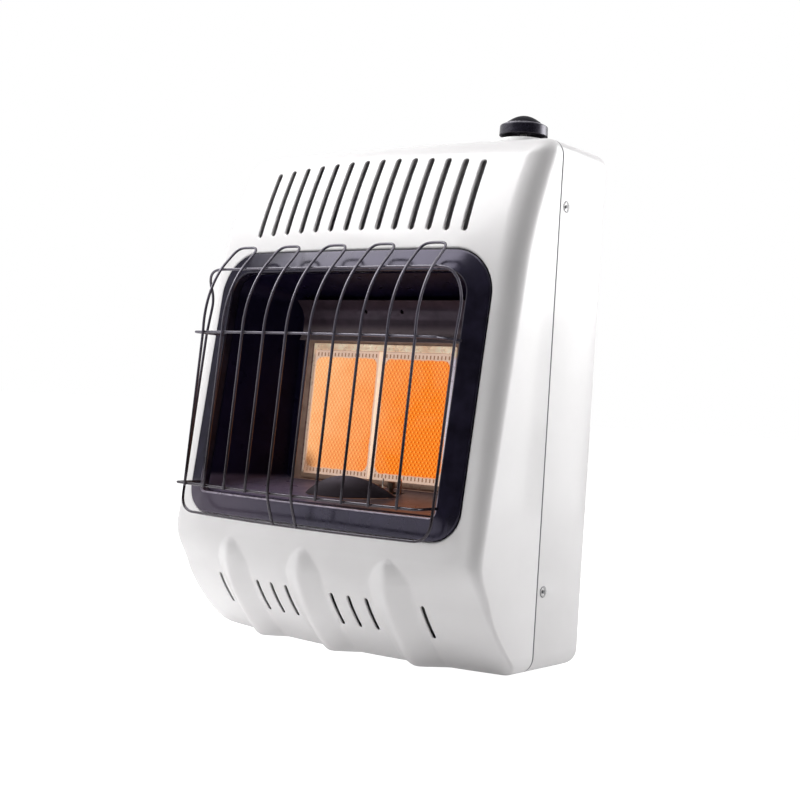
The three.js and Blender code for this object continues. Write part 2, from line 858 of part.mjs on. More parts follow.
function buildRearCase() {
  const pan = cut(solid(casePan(0, 0, rearEdgeRadius, -seamDepth)),
    casePan(sheet, -sheet, rearEdgeRadius - sheet, -seamDepth - overrun))
  const holes = []
  for (const side of [-1, 1]) {
    const x = side * keyholeSpacing / 2
    holes.push(acrossY(keyholeRadius, x, keyholeHeight, overrun, -sheet - overrun, 16))
    const slotTop = keyholeHeight + keyholeSlotLength
    holes.push(plateXZ(slotOutline(x, keyholeHeight - keyholeRadius / 2, slotTop, keyholeSlotWidth),
      overrun, -sheet - overrun))
  }
  for (let i = 0; i < inletSlotCount; i++) {
    const x = (i - (inletSlotCount - 1) / 2) * inletSlotPitch
    const y = -seamDepth + inletSlotMargin
    holes.push(block(x - inletSlotWidth / 2, x + inletSlotWidth / 2, y, y + inletSlotLength,
      -overrun, sheet + overrun))
  }
  holes.push(upright(inletHoleRadius, regulatorX, -inletDepth, -overrun, sheet + overrun))
  holes.push(upright(stemHoleRadius, controlX, -controlDepth,
    caseHeight - sheet - overrun, caseHeight + overrun))
  for (const side of [-1, 1]) {
    for (const z of [screwHigh, screwLow]) {
      holes.push(acrossX(screwShankRadius + fitGap, -seamDepth + screwInset, z,
        side * (halfCase - sheet - overrun), side * (halfCase + overrun), 12))
    }
  }
  addPart('rear_case', cut(pan, ...holes), white)
}

// Bezel: one rolled section carried round the opening, following the front face

function bezelSection() {
  const crest = bezelBeadWidth + bezelFlange - bezelCrestWidth
  const outer = [
    [0, -bezelSkirt],
    [0, bezelRimRise],
    [bezelBeadWidth / 3, bezelBeadRise * 0.8],
    [bezelBeadWidth, bezelBeadRise],
    [crest, bezelCrestRise],
    [crest + bezelCrestWidth / 2, bezelCrestRise + bezelRimRise / 2],
    [crest + bezelCrestWidth, bezelCrestRise - bezelCrestWidth / 3],
    [crest + bezelCrestWidth, -bezelReturn],
  ]
  const inner = [
    [crest + bezelCrestWidth - thinSheet, -bezelReturn],
    [crest + bezelCrestWidth - thinSheet, bezelCrestRise - bezelCrestWidth / 2],
    [crest, bezelCrestRise - thinSheet],
    [bezelBeadWidth, bezelBeadRise - thinSheet],
    [thinSheet, bezelRimRise - thinSheet / 2],
    [thinSheet, -bezelSkirt],
  ]
  return [...outer, ...inner]
}

const bezelLipInset = bezelBeadWidth + bezelFlange

function buildBezel() {
  const rings = bezelSection().map(([inset, rise]) => {
    const outline = frameOutline(insetFrame(bezelFrame, inset), bezelCornerSpans, bezelAcrossSpans, 2)
    return outline.map(([x, z]) => new THREE.Vector3(x, -faceDepth(x, z) - rise, z))
  })
  addPart('bezel_frame', loft(rings, true), enamel)
}

// The burner's leaning frame: local y = 0 is the front of the retaining frame

function leaning(x, y, z) {
  const point = new THREE.Vector3(x, y, z).applyAxisAngle(new THREE.Vector3(1, 0, 0), -burnerLean)
  return point.add(new THREE.Vector3(0, -burnerDepth, burnerHeight))
}

function leanInPlace(shape) {
  const geometry = shape instanceof THREE.BufferGeometry ? shape : geometryOf(shape)
  return geometry.rotateX(-burnerLean).translate(0, -burnerDepth, burnerHeight)
}

const wallFront = frameThickness + fitGap
const wallBack = wallFront + thinSheet
const plaqueBack = plaqueRecess + plaqueThickness
const plaqueInner = dividerWidth / 2 + fitGap
const plaqueOuter = plaqueInner + plaqueWidth
const housingInner = plaqueOuter + fitGap
const housingOuter = housingInner + housingWall
const housingFront = wallBack + fitGap
const housingBack = housingFront + housingDepth
const housingTop = plaqueTop + fitGap + housingWall
const housingFoot = plaqueFoot + fitGap + housingWall
const mixerEntry = mixerRadius + mixerWall + fitGap

// The front surface of the firebox's back wall at a height
function backWallY(z) {
  return -burnerDepth - (burnerHeight - z) * Math.tan(burnerLean) + wallFront / Math.cos(burnerLean)
}

const fireboxMouth = insetFrame(bezelFrame, bezelLipInset + fitGap)

function fireboxRings(inset, reachShare, backShift) {
  const back = frameOutline(insetFrame(backFrame, inset), bezelCornerSpans, bezelAcrossSpans, 2)
    .map(([x, z]) => new THREE.Vector3(x, backWallY(z) + backShift, z))
  const mouth = frameOutline(insetFrame(fireboxMouth, inset), bezelCornerSpans, bezelAcrossSpans, 2)
    .map(([x, z]) => new THREE.Vector3(x, -faceDepth(x, z) + fireboxRecess, z))
  return [back.map((point, i) => point.clone().lerp(mouth[i], reachShare)), back]
}

// Height of the firebox's floor, inner skin, at a depth from the rear
function floorHeight(depth) {
  const mouthDepth = faceDepth(0, fireboxMouth.low) - fireboxRecess
  const backDepth = -backWallY(backLow)
  const share = (depth - backDepth) / (mouthDepth - backDepth)
  return backLow + (fireboxMouth.low - backLow) * share + thinSheet
}

function buildFirebox() {
  const shell = cut(solid(loft(fireboxRings(0, 1, thinSheet))),
    loft(fireboxRings(thinSheet, fireboxOverrunShare, 0)))
  const burnerHole = leanInPlace(block(-housingOuter + fitGap, housingOuter - fitGap,
    -overrun, wallBack + overrun, -plaqueFoot - fitGap, plaqueTop + fitGap))
  const pilotHole = block(
    pilotX - pilotPitch - pilotHoodRadius - pilotHoleSpare, pilotX + pilotPitch + pilotHoodRadius,
    -pilotDepth - pilotHoodRadius - fitGap, -pilotDepth + pilotHoodRadius + fitGap,
    floorHeight(pilotDepth) - pilotPitch, floorHeight(pilotDepth) + pilotPitch)
  addPart('firebox', cut(shell, burnerHole, pilotHole), enamel)
}

// A bent sheet on the back wall: flat in the middle, flared forward above, with a lip below
function buildDeflector() {
  const onWall = (z) => backWallY(z) - fitGap / Math.cos(burnerLean)
  const top = backHigh - deflectorMargin
  const bend = top - deflectorFlareHeight
  const flatTop = bend - deflectorBendHeight
  const flatFoot = flatTop - deflectorFlat
  const back = [
    [onWall(flatTop) - deflectorBendReach - deflectorFlareReach, top],
    [onWall(flatTop) - deflectorBendReach, bend],
    [onWall(flatTop), flatTop],
    [onWall(flatFoot), flatFoot],
    [onWall(flatFoot) - deflectorLipReach, flatFoot - deflectorLipDrop],
  ]
  const plate = solid(profileYZ(sheetOutline(back, -thinSheet), -deflectorHalfWidth, deflectorHalfWidth))
  const holes = [-1, 1].map((side) => acrossY(deflectorHoleRadius, side * deflectorHoleSpacing / 2,
    flatTop + deflectorHoleRise, onWall(flatTop) - deflectorFlareReach, onWall(flatTop) + overrun, 10))
  addPart('heat_deflector', cut(plate, ...holes), darkShield)
}

function buildBurner() {
  const window = [-housingInner, housingInner, -plaqueFoot - fitGap, frameTop - frameTopStrip]
  const frame = cut(
    solid(block(-frameHalfWidth, frameHalfWidth, 0, frameThickness, -frameFoot, frameTop)),
    block(window[0], window[1], -overrun, overrun, window[2], window[3]))
  addPart('burner_frame', leanInPlace(frame), steel)

  for (const [name, side] of [['plaque_left', -1], ['plaque_right', 1]]) {
    addPart(name, leanInPlace(block(side * plaqueInner, side * plaqueOuter,
      plaqueRecess, plaqueBack, -plaqueFoot, plaqueTop)), glowing)
  }
  addPart('plaque_divider', leanInPlace(block(-dividerWidth / 2, dividerWidth / 2,
    dividerRecess, plaqueBack, -plaqueFoot, plaqueTop)), paleCeramic)

  const shell = joined(
    block(-housingOuter, housingOuter, housingFront, housingBack, -housingFoot, housingTop),
    block(-housingOuter - housingFlange, housingOuter + housingFlange,
      housingFront, housingFront + housingWall, -housingFoot - housingFlange, housingTop + housingFlange))
  const housing = cut(shell,
    block(-housingInner, housingInner, -overrun, housingBack - housingWall,
      -housingFoot + housingWall, housingTop - housingWall),
    upright(mixerEntry, 0, mixerSetback, -housingFoot - overrun, -housingFoot + housingWall + overrun, 20))
  addPart('burner_housing', leanInPlace(housing), aluminised)
}

// Mixing tube under the housing, with the orifice fitting held below its mouth

const mixerTop = -housingFoot + mixerInset
const mixerMouth = mixerTop - mixerLength
const orificePlateTop = mixerMouth - orificeDrop
const orificeFoot = orificePlateTop - orificeBracketThickness - fitGap - orificeHexHeight

function buildMixer() {
  const profile = [
    [mixerRadius, mixerTop],
    [mixerRadius, mixerMouth + mixerFlareLength],
    [mixerRadius + mixerWall, mixerMouth + mixerFlareLength * 0.6],
    [mixerMouthRadius - mixerWall, mixerMouth],
    [mixerMouthRadius, mixerMouth],
    [mixerRadius + 2 * mixerWall, mixerMouth + mixerFlareLength * 0.6],
    [mixerRadius + mixerWall, mixerMouth + mixerFlareLength],
    [mixerRadius + mixerWall, mixerTop],
    [mixerRadius, mixerTop],
  ]
  addPart('mixing_tube', leanInPlace(turned(profile, 0, mixerSetback, 20)), aluminised)

  const legY = housingBack + fitGap
  const half = orificeBracketWidth / 2
  const t = orificeBracketThickness
  const bracket = cut(joined(
    block(-half, half, legY, legY + t, orificePlateTop - t, -housingFoot / 2),
    block(-half, half, mixerSetback - half, legY + t, orificePlateTop - t, orificePlateTop)),
  upright(orificeNeckRadius + fitGap, 0, mixerSetback,
    orificePlateTop - t - overrun, orificePlateTop + overrun, 16))
  addPart('orifice_bracket', leanInPlace(bracket), aluminised)

  const neckTop = orificePlateTop + orificeNeckRadius
  const fitting = joined(
    upright(orificeHexRadius, 0, mixerSetback, orificeFoot, orificeFoot + orificeHexHeight, 6),
    upright(orificeNeckRadius, 0, mixerSetback, orificeFoot + overrun, neckTop, 16),
    upright(orificeTipRadius, 0, mixerSetback, neckTop - fitGap, neckTop + orificeTipLength, 10))
  addPart('orifice_fitting', leanInPlace(fitting), brass)
}

// Controls: collar, knob, stem and plunger on one upright axis above the gas valve

const controlY = -controlDepth
const collarTop = caseHeight + fitGap + collarHeight
const knobFoot = collarTop + knobGap
const knobTop = knobFoot + knobSide + knobShoulderRise + knobDome
const stemTop = knobFoot + knobHubFloor + stemSocketDepth
const valveFloor = valveSeat + fitGap
const valveTop = valveFloor + valveHeight
const plungerFoot = valveFloor + valveBoreFloor + knobPress + plungerSpare
const stemFoot = plungerFoot + plungerLength + fitGap

function buildControls() {
  addPart('knob_collar', turned([
    [collarBore, caseHeight - collarSpigotLength],
    [collarSpigotRadius, caseHeight - collarSpigotLength],
    [collarSpigotRadius, caseHeight + fitGap],
    [collarRadius, caseHeight + fitGap],
    [collarRadius, collarTop - collarChamfer],
    [collarRadius - collarChamfer, collarTop],
    [collarBore, collarTop],
    [collarBore, caseHeight - collarSpigotLength],
  ], controlX, controlY, 36), white)

  const domeFoot = knobRadius - knobSideInset - knobShoulder
  const domeRadius = (domeFoot ** 2 + knobDome ** 2) / (2 * knobDome)
  const shoulder = []
  for (let k = 0; k < knobShoulderSpans; k++) {
    const angle = Math.PI / 2 * k / knobShoulderSpans
    shoulder.push([domeFoot + knobShoulder * Math.cos(angle),
      knobFoot + knobSide + knobShoulderRise * Math.sin(angle)])
  }
  const dome = []
  const domeSpans = 6
  for (let k = 0; k <= domeSpans; k++) {
    const radius = domeFoot * (1 - k / domeSpans)
    const sag = domeRadius - Math.sqrt(domeRadius ** 2 - radius ** 2)
    dome.push([radius, knobTop - sag])
  }
  addPart('control_knob', turned([
    [0, stemTop + fitGap],
    [stemRadius + fitGap, stemTop + fitGap],
    [stemRadius + fitGap, knobFoot + knobHubFloor],
    [knobHubRadius, knobFoot + knobHubFloor],
    [knobHubRadius, knobFoot + knobCeiling],
    [knobRadius - knobWall, knobFoot + knobCeiling],
    [knobRadius - knobWall, knobFoot],
    [knobRadius, knobFoot],
    ...shoulder,
    ...dome,
  ], controlX, controlY, 36), blackPlastic)

  addPart('valve_stem', upright(stemRadius, controlX, controlY, stemFoot, stemTop, 16), steel)
  addPart('valve_plunger', upright(plungerRadius, controlX, controlY,
    plungerFoot, plungerFoot + plungerLength, 16), brass)
}

function buildValve() {
  const x0 = controlX - valveWidth / 2
  const x1 = controlX + valveWidth / 2
  const y0 = controlY - valveDepth / 2
  const y1 = controlY + valveDepth / 2
  const body = joined(
    block(x0, x1, y0, y1, valveFloor, valveTop),
    upright(valveNeckRadius, controlX, controlY, valveTop - fitGap, valveTop + valveNeckHeight, 20))
  const bored = cut(body, upright(valveBore, controlX, controlY,
    valveFloor + valveBoreFloor, valveTop + valveNeckHeight + overrun, 20))
  addPart('gas_valve', bored, brass)

  const legY = -sheet - fitGap
  addPart('valve_bracket', profileYZ(sheetOutline([
    [legY, valveSeat - bracketRise],
    [legY, valveSeat],
    [legY - bracketReach, valveSeat],
  ], bracketThickness), bracketLeft, bracketRight), aluminised)

  addPart('piezo_igniter', upright(piezoRadius, piezoX, -piezoDepth,
    valveFloor, valveFloor + piezoLength, 20), blackPlastic)
}

// Regulator on a hat-shaped bracket, with the gas inlet below it

const regulatorBackY = -sheet - fitGap - regulatorStandoff - fitGap
const inletDepth = -regulatorBackY + regulatorLength / 2
const regulatorBossTop = regulatorHeight + regulatorRadius + regulatorBossLength
const regulatorBossFoot = regulatorHeight - regulatorRadius - regulatorBossLength
const inletHexTop = regulatorBossFoot - fitGap

function buildRegulator() {
  const y = -inletDepth
  addPart('regulator', joined(
    acrossY(regulatorRadius, regulatorX, regulatorHeight, regulatorBackY, regulatorBackY - regulatorLength, 28),
    upright(regulatorBossRadius, regulatorX, y, regulatorBossFoot, regulatorBossTop, 16)), castGrey)

  const t = bracketThickness
  const wallY = -sheet - fitGap
  const deckY = wallY - regulatorStandoff
  const inner = regulatorX - channelHalfWidth
  const outer = regulatorX + channelHalfWidth
  addPart('regulator_bracket', profileXY([
    [inner - channelLip, wallY],
    [inner - channelLip, wallY - t],
    [inner - t, wallY - t],
    [inner - t, deckY],
    [outer + t, deckY],
    [outer + t, wallY - t],
    [outer + channelLip, wallY - t],
    [outer + channelLip, wallY],
    [outer, wallY],
    [outer, deckY + t],
    [inner, deckY + t],
    [inner, wallY],
  ], regulatorHeight - channelHalfHeight, regulatorHeight + channelHalfHeight), aluminised)

  const fitting = joined(
    upright(inletHexRadius, regulatorX, y, inletHexTop - inletHexHeight, inletHexTop, 6),
    upright(inletThreadRadius, regulatorX, y, inletEndHeight, inletHexTop - fitGap, 20))
  addPart('inlet_fitting', cut(fitting,
    upright(inletBore, regulatorX, y, inletEndHeight - overrun, inletHexTop + overrun, 16)), brass)
}

// Heights of the pilot group, which hangs by two ears from the firebox floor

const pilotEarTop = floorHeight(pilotDepth + pilotEarWidth / 2) - thinSheet - fitGap
const pilotPlateFoot = pilotEarTop - pilotEarLength
const pilotRodFoot = pilotPlateFoot - pilotRodDrop

// Gas tubes and the two leads

function buildTubes() {
  const at = (x, depth, z) => new THREE.Vector3(x, -depth, z)
  const valveRight = controlX + valveWidth / 2 + fitGap
  const valveLeft = controlX - valveWidth / 2 - fitGap
  const supplyZ = valveFloor + supplyPortHeight
  addPart('supply_tube', tube(bentPath([
    at(regulatorX, inletDepth, regulatorBossTop + fitGap),
    at(regulatorX, inletDepth, regulatorBossTop + 2 * tubeBend),
    at(riserX, supplyPortDepth, regulatorBossTop + 5 * tubeBend),
    at(riserX, supplyPortDepth, supplyZ),
    at(valveRight, supplyPortDepth, supplyZ),
  ], tubeBend), supplyTubeRadius), aluminium)

  const burnerZ = valveFloor + burnerPortHeight
  const burnerX = valveLeft - burnerRunMargin
  const foot = leaning(0, mixerSetback, orificeFoot - fitGap)
  addPart('burner_tube', tube(bentPath([
    at(valveLeft, burnerPortDepth, burnerZ),
    at(burnerX, burnerPortDepth, burnerZ),
    at(burnerX, burnerPortDepth, foot.z - burnerRunDrop),
    at(foot.x, -foot.y, foot.z - burnerRunDrop),
    foot,
  ], tubeBend), burnerTubeRadius), aluminium)

  const pilotZ = valveFloor + pilotPortHeight
  const runX = valveLeft - pilotRunMargin
  const runLow = pilotRodFoot - pilotRunDrop
  addPart('pilot_tube', tube(bentPath([
    at(valveLeft, pilotPortDepth, pilotZ),
    at(runX, pilotPortDepth, pilotZ),
    at(runX, pilotPortDepth, runLow),
    at(pilotX, pilotDepth, runLow),
    at(pilotX, pilotDepth, pilotRodFoot - fitGap),
  ], tubeBend / 2), pilotTubeRadius), aluminium)

  const leadX = pilotX + pilotPitch
  const thermocoupleZ = valveFloor + thermocouplePortHeight
  addPart('thermocouple_lead', tube(bentPath([
    at(valveLeft, thermocouplePortDepth, thermocoupleZ),
    at(runX, thermocouplePortDepth, thermocoupleZ),
    at(runX, thermocouplePortDepth, runLow + leadStep),
    at(leadX, pilotDepth, runLow + leadStep),
    at(leadX, pilotDepth, pilotRodFoot - fitGap),
  ], tubeBend / 2), leadRadius, leadSides), copper)

  // The spark lead goes round behind the neck of the valve
  const sparkX = pilotX - pilotPitch
  const sparkRunX = valveLeft - sparkRunMargin
  const sparkRunDepth = controlDepth - sparkRunSetback
  const sparkRunLow = runLow - 2 * leadStep
  addPart('igniter_lead', tube(bentPath([
    at(piezoX, piezoDepth, valveFloor + piezoLength + fitGap),
    at(piezoX, piezoDepth, valveTop + tubeBend),
    at(piezoX, sparkRunDepth, valveTop + tubeBend),
    at(sparkRunX, sparkRunDepth, valveTop + tubeBend),
    at(sparkRunX, sparkRunDepth, sparkRunLow),
    at(sparkX, pilotDepth, sparkRunLow),
    at(sparkX, pilotDepth, pilotRodFoot - fitGap),
  ], tubeBend / 2), leadRadius, leadSides), redLead)
}

// Pilot burner, thermocouple and electrode on one plate

function buildPilot() {
  const y = -pilotDepth
  const t = bracketThickness
  const x0 = pilotX - pilotPlateHalfWidth
  const x1 = pilotX + pilotPlateHalfWidth
  const reach = pilotPlateReach / 2
  const ears = [x0, x1 - t].map((x) => block(x, x + t, y - pilotEarWidth / 2, y + pilotEarWidth / 2,
    pilotPlateFoot, pilotEarTop))
  const plate = joined(block(x0, x1, y - reach, y + reach, pilotPlateFoot, pilotPlateFoot + t), ...ears)
  const hole = (x, radius) => upright(radius + fitGap, x, y, pilotPlateFoot - overrun,
    pilotPlateFoot + t + overrun, 16)
  addPart('pilot_bracket', cut(plate, hole(pilotX, pilotBurnerRadius),
    hole(pilotX + pilotPitch, thermocoupleRadius), hole(pilotX - pilotPitch, electrodeRadius)), aluminised)

  const pilotBurnerTop = pilotPlateFoot + pilotBurnerRise
  addPart('pilot_burner', joined(
    upright(pilotBurnerRadius, pilotX, y, pilotRodFoot, pilotBurnerTop, 16),
    upright(pilotHoodRadius, pilotX, y, pilotBurnerTop - pilotHoodHeight, pilotBurnerTop + fitGap, 16)), steel)
  const thermocoupleTop = pilotPlateFoot + thermocoupleRise
  addPart('thermocouple', turned([
    [0, pilotRodFoot],
    [thermocoupleRadius, pilotRodFoot],
    [thermocoupleRadius, thermocoupleTop - thermocoupleRadius],
    [thermocoupleRadius / 2, thermocoupleTop],
    [0, thermocoupleTop],
  ], pilotX + pilotPitch, y, 12), copper)
  addPart('igniter_electrode', turned([
    [0, pilotRodFoot],
    [electrodeRadius, pilotRodFoot],
    [electrodeRadius, pilotPlateFoot + electrodeCeramicRise],
    [electrodeTipRadius, pilotPlateFoot + electrodeCeramicRise],
    [electrodeTipRadius, pilotPlateFoot + electrodeRise],
    [0, pilotPlateFoot + electrodeRise],
  ], pilotX - pilotPitch, y, 12), paleCeramic)
}

// Low arched shield that stands on the firebox floor in front of the pilot
function buildPilotShield() {
  const spans = 14
  const rings = []
  for (let k = 0; k <= spans; k++) {
    const u = 2 * k / spans - 1
    const x = shieldCentreX + u * shieldHalfLength
    const depth = shieldCentreDepth - u * shieldTurn + shieldBulge * (1 - u * u)
    const foot = floorHeight(depth - shieldThickness) + fitGap
    const rise = shieldEndHeight + shieldRise * (1 - u * u)
    const lean = shieldLeanBack * (1 - u * u)
    rings.push([
      new THREE.Vector3(x, -depth, foot),
      new THREE.Vector3(x, -depth + shieldThickness, foot),
      new THREE.Vector3(x, -depth + shieldThickness + lean, foot + rise),
      new THREE.Vector3(x, -depth + lean, foot + rise),
    ])
  }
  addPart('pilot_shield', loft(rings), darkShield)
}

function buildRearShield() {
  const wallY = -sheet - fitGap
  const deckY = wallY - rearShieldStandoff
  const t = thinSheet
  const x = rearShieldHalfWidth
  const foot = x + rearShieldFoot
  addPart('rear_heat_shield', profileXY([
    [-foot, wallY],
    [-foot, wallY - t],
    [-x - t, wallY - t],
    [-x - t, deckY],
    [x + t, deckY],
    [x + t, wallY - t],
    [foot, wallY - t],
    [foot, wallY],
    [x, wallY],
    [x, deckY + t],
    [-x, deckY + t],
    [-x, wallY],
  ], rearShieldLow, rearShieldHigh), aluminised)
}

// Wire guard: hairpins in front, two bars and a perimeter loop behind them

const barSetback = 2 * wireRadius + fitGap
const legSpan = (hairpinCount - 0.5) * hairpinPitch

// The guard bows forward to its middle, less so towards its top
function guardPoint(x, depth, z) {
  const bow = between(guardBow, guardTopBow, (z - midBarHeight) / guardBowFade)
  return new THREE.Vector3(x, bow * (x / guardHalfWidth) ** 2 - depth, z)
}

// A point of the perimeter's bottom wire, which has a deeper bow of its own
function footPoint(x) {
  const depth = perimeterFootDepth - perimeterFootBow * (x / guardHalfWidth) ** 2
  return new THREE.Vector3(x, -depth, perimeterFootHeight)
}

// A point on the guard's arc in plain depth and height
function arcPoint(degrees, radius = guardArcRadius) {
  const angle = THREE.MathUtils.degToRad(degrees)
  return [guardArcDepth + radius * Math.cos(angle), guardArcHeight + radius * Math.sin(angle)]
}

// Depth of the straight part of a hairpin leg
function legDepth(z) {
  const [depth, height] = arcPoint(guardArcStartDegrees)
  return guardFootDepth + (depth - guardFootDepth) * (z - guardFootHeight) / (height - guardFootHeight)
}

// A leg of a hairpin up to the end of its arc. The middle hairpin hooks over the perimeter's foot.
function hairpinLeg(x, hooked) {
  const foot = guardFootHeight - (hooked ? 2 * wireRadius : wireRadius)
  const points = [guardPoint(x, legDepth(foot), foot)]
  for (let k = 0; k <= guardArcSpans; k++) {
    const share = k / guardArcSpans
    const [depth, z] = arcPoint(between(guardArcStartDegrees, guardArcEndDegrees, share))
    points.push(guardPoint(x, depth, z))
  }
  if (hooked) {
    const hook = footPoint(x)
    hook.y -= barSetback
    points.unshift(hook)
  }
  return points
}

// The top of a hairpin from its left leg to its right leg: a squarish round that leans back
function hairpinTop(centre) {
  const [depth, height] = arcPoint(guardArcEndDegrees)
  const lean = THREE.MathUtils.degToRad(hairpinTopLeanDegrees)
  const points = []
  for (let k = 1; k < hairpinTopSpans; k++) {
    const angle = Math.PI * k / hairpinTopSpans
    const across = -Math.cos(angle)
    const up = Math.sin(angle)
    const size = (across ** hairpinTopPower + up ** hairpinTopPower) ** (-1 / hairpinTopPower)
    const reach = hairpinTopReach * up * size
    points.push(guardPoint(centre + hairpinPitch / 2 * across * size,
      depth - reach * Math.sin(lean), height + reach * Math.cos(lean)))
  }
  return points
}

function buildHairpin(index) {
  const centre = (index - (hairpinCount - 1) / 2) * 2 * hairpinPitch
  const hooked = index === (hairpinCount - 1) / 2
  const left = hairpinLeg(centre - hairpinPitch / 2, hooked)
  const right = hairpinLeg(centre + hairpinPitch / 2, hooked).reverse()
  const path = new StationPath([...left, ...hairpinTop(centre), ...right])
  addPart(`guard_hairpin_${index + 1}`, tube(path, wireRadius, wireSides), wireBlack)
}

// A bar behind the hairpins: bowed in plan, with ends that turn back to the bezel
function buildBar(name, z) {
  const half = legSpan + barOverhang
  const end = faceDepth(half, z) + bezelCrestRise + bezelRimRise
  const points = [new THREE.Vector3(-half, -end, z)]
  for (let k = 0; k <= barSpans; k++) {
    points.push(guardPoint(half * (2 * k / barSpans - 1), legDepth(z) - barSetback, z))
  }
  points.push(new THREE.Vector3(half, -end, z))
  addPart(name, tube(bentPath(points, barBend), wireRadius, wireSides), wireBlack)
}

// The perimeter loop is made as two halves that meet in the middle of the top and bottom wires
function buildPerimeter() {
  const [topDepth, topHeight] = arcPoint(perimeterTopDegrees, guardArcRadius - barSetback)
  const lean = (perimeterLowDepth - perimeterHighDepth) / (perimeterHighHeight - perimeterLowHeight)
  const footSideDepth = perimeterLowDepth + lean * (perimeterLowHeight - perimeterFootHeight)
  const flat = guardHalfWidth - perimeterCorner
  const halves = [-1, 1].map((side) => {
    const across = []
    for (let k = 0; k <= perimeterSpans; k++) {
      across.push(side * (flat * k / perimeterSpans - (k === 0 ? wireRadius : 0)))
    }
    const flank = [
      [topDepth, topHeight],
      [perimeterShoulderDepth, topHeight - perimeterShoulderDrop],
      [perimeterHighDepth, perimeterHighHeight],
      [perimeterLowDepth, perimeterLowHeight],
      [footSideDepth, perimeterFootHeight],
    ].map(([depth, z]) => new THREE.Vector3(side * guardHalfWidth, -depth, z))
    const top = across.map((x) => guardPoint(x, topDepth, topHeight))
    const foot = across.map(footPoint).reverse()
    return tube(bentPath([...top, ...flank, ...foot], perimeterCorner), wireRadius, wireSides)
  })
  addPart('guard_perimeter', joined(...halves), wireBlack)
}

// Pan head screws that hold the cover to the rear case
function buildScrews() {
  for (const [side, sideName] of [[-1, 'left'], [1, 'right']]) {
    for (const [z, level] of [[screwHigh, 'upper'], [screwLow, 'lower']]) {
      const y = -seamDepth + screwInset
      const seat = side * (halfCase + fitGap)
      const profile = [
        [0, screwHeadHeight],
        [screwHeadRadius * 0.6, screwHeadHeight * 0.92],
        [screwHeadRadius * 0.92, screwHeadHeight * 0.55],
        [screwHeadRadius, 0],
        [screwShankRadius, 0],
        [screwShankRadius, -screwShankLength],
        [0, -screwShankLength],
      ].map(([radius, height]) => new THREE.Vector2(radius, height))
      const screw = new THREE.LatheGeometry(profile, 14).rotateZ(-side * Math.PI / 2)
      addPart(`side_screw_${sideName}_${level}`, screw.translate(seat, y, z), steel)
    }
  }
}

buildRearCase()
buildFrontCover()
buildBezel()
buildFirebox()
buildDeflector()
buildBurner()
buildMixer()
buildPilot()
buildPilotShield()
buildRearShield()
buildControls()
buildValve()
buildRegulator()
buildTubes()
for (let i = 0; i < hairpinCount; i++) buildHairpin(i)
buildBar('guard_mid_bar', midBarHeight)
buildBar('guard_lower_bar', guardFootHeight)
buildPerimeter()
buildScrews()

// Centre the footprint on the origin
const footprint = new THREE.Box3().setFromObject(group)
group.position.y = -(footprint.min.y + footprint.max.y) / 2

export default group
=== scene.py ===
import json
import math
import bmesh
import bpy
from mathutils import Matrix, Vector


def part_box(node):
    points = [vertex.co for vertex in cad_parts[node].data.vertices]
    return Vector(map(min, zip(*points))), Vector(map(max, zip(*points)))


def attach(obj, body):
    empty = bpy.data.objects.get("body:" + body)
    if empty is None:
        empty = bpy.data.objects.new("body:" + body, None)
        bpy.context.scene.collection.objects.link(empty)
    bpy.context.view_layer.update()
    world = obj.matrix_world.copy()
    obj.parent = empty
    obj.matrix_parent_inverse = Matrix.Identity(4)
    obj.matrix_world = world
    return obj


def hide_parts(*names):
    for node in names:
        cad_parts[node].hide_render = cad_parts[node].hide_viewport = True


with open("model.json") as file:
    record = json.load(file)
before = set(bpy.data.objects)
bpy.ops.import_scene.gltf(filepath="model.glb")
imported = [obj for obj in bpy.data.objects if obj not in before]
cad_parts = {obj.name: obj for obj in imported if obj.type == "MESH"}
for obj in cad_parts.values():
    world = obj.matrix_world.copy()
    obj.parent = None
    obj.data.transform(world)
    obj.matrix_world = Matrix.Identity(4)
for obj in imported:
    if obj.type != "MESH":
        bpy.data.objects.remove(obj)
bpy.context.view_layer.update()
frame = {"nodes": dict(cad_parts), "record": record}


MM = 0.001
REAR_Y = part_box("rear_case")[1][1]
BODY = "heater_body"

# Casing
CASE_WIDTH = 447
CASE_HEIGHT = 590
CASE_CORNER = 20
HALF_CASE = CASE_WIDTH / 2
SEAM_DEPTH = 102
SEAM_GAP = 0.3
SEAM_ROLL = 1.1
REAR_EDGE = 9
SHEET = 1.2
THIN_SHEET = 1

# Openings of the rear case
KEYHOLE_X = 130
KEYHOLE_HEIGHT = 438
KEYHOLE_RADIUS = 7
KEYHOLE_SLOT_FOOT = 434.5
KEYHOLE_SLOT_TOP = 454
KEYHOLE_SLOT_WIDTH = 7
AIR_SLOTS = 7
AIR_PITCH = 26
AIR_LENGTH = 60
AIR_WIDTH = 8
AIR_OFF_SEAM = 22
GAS_HOLE_X = 160
GAS_HOLE_Y = -41.8
GAS_HOLE_RADIUS = 16
STEM_HOLE_RADIUS = 9

# Front face
CROWN_START = 440
FACE_DEPTH_AT_CROWN = 196.4
FACE_LEAN_RUN = 44.1
FACE_LEAN_HEIGHT = 315
CROWN_DROP = 34
CROWN_POWER = 1.6
CHIN_START = 125
CHIN_DROP = 99
CHIN_POWER = 1.75
BOW_UPPER = 15
BOW_LOWER = 31
BOW_TURN_HIGH = 132
BOW_TURN_LOW = 78
EDGE_CROWN = 24
EDGE_WAIST = 14
EDGE_FOOT = 6
EDGE_TURN_LOW = 70
RIDGE_SPACING = 116
RIDGE_TOP = 121
RIDGE_HEAD = 26
RIDGE_HALF_WIDTH = 26
RIDGE_RISE_FOOT = 22
RIDGE_RISE_HEAD = 9
RIDGE_CREST_SHARE = 0.16

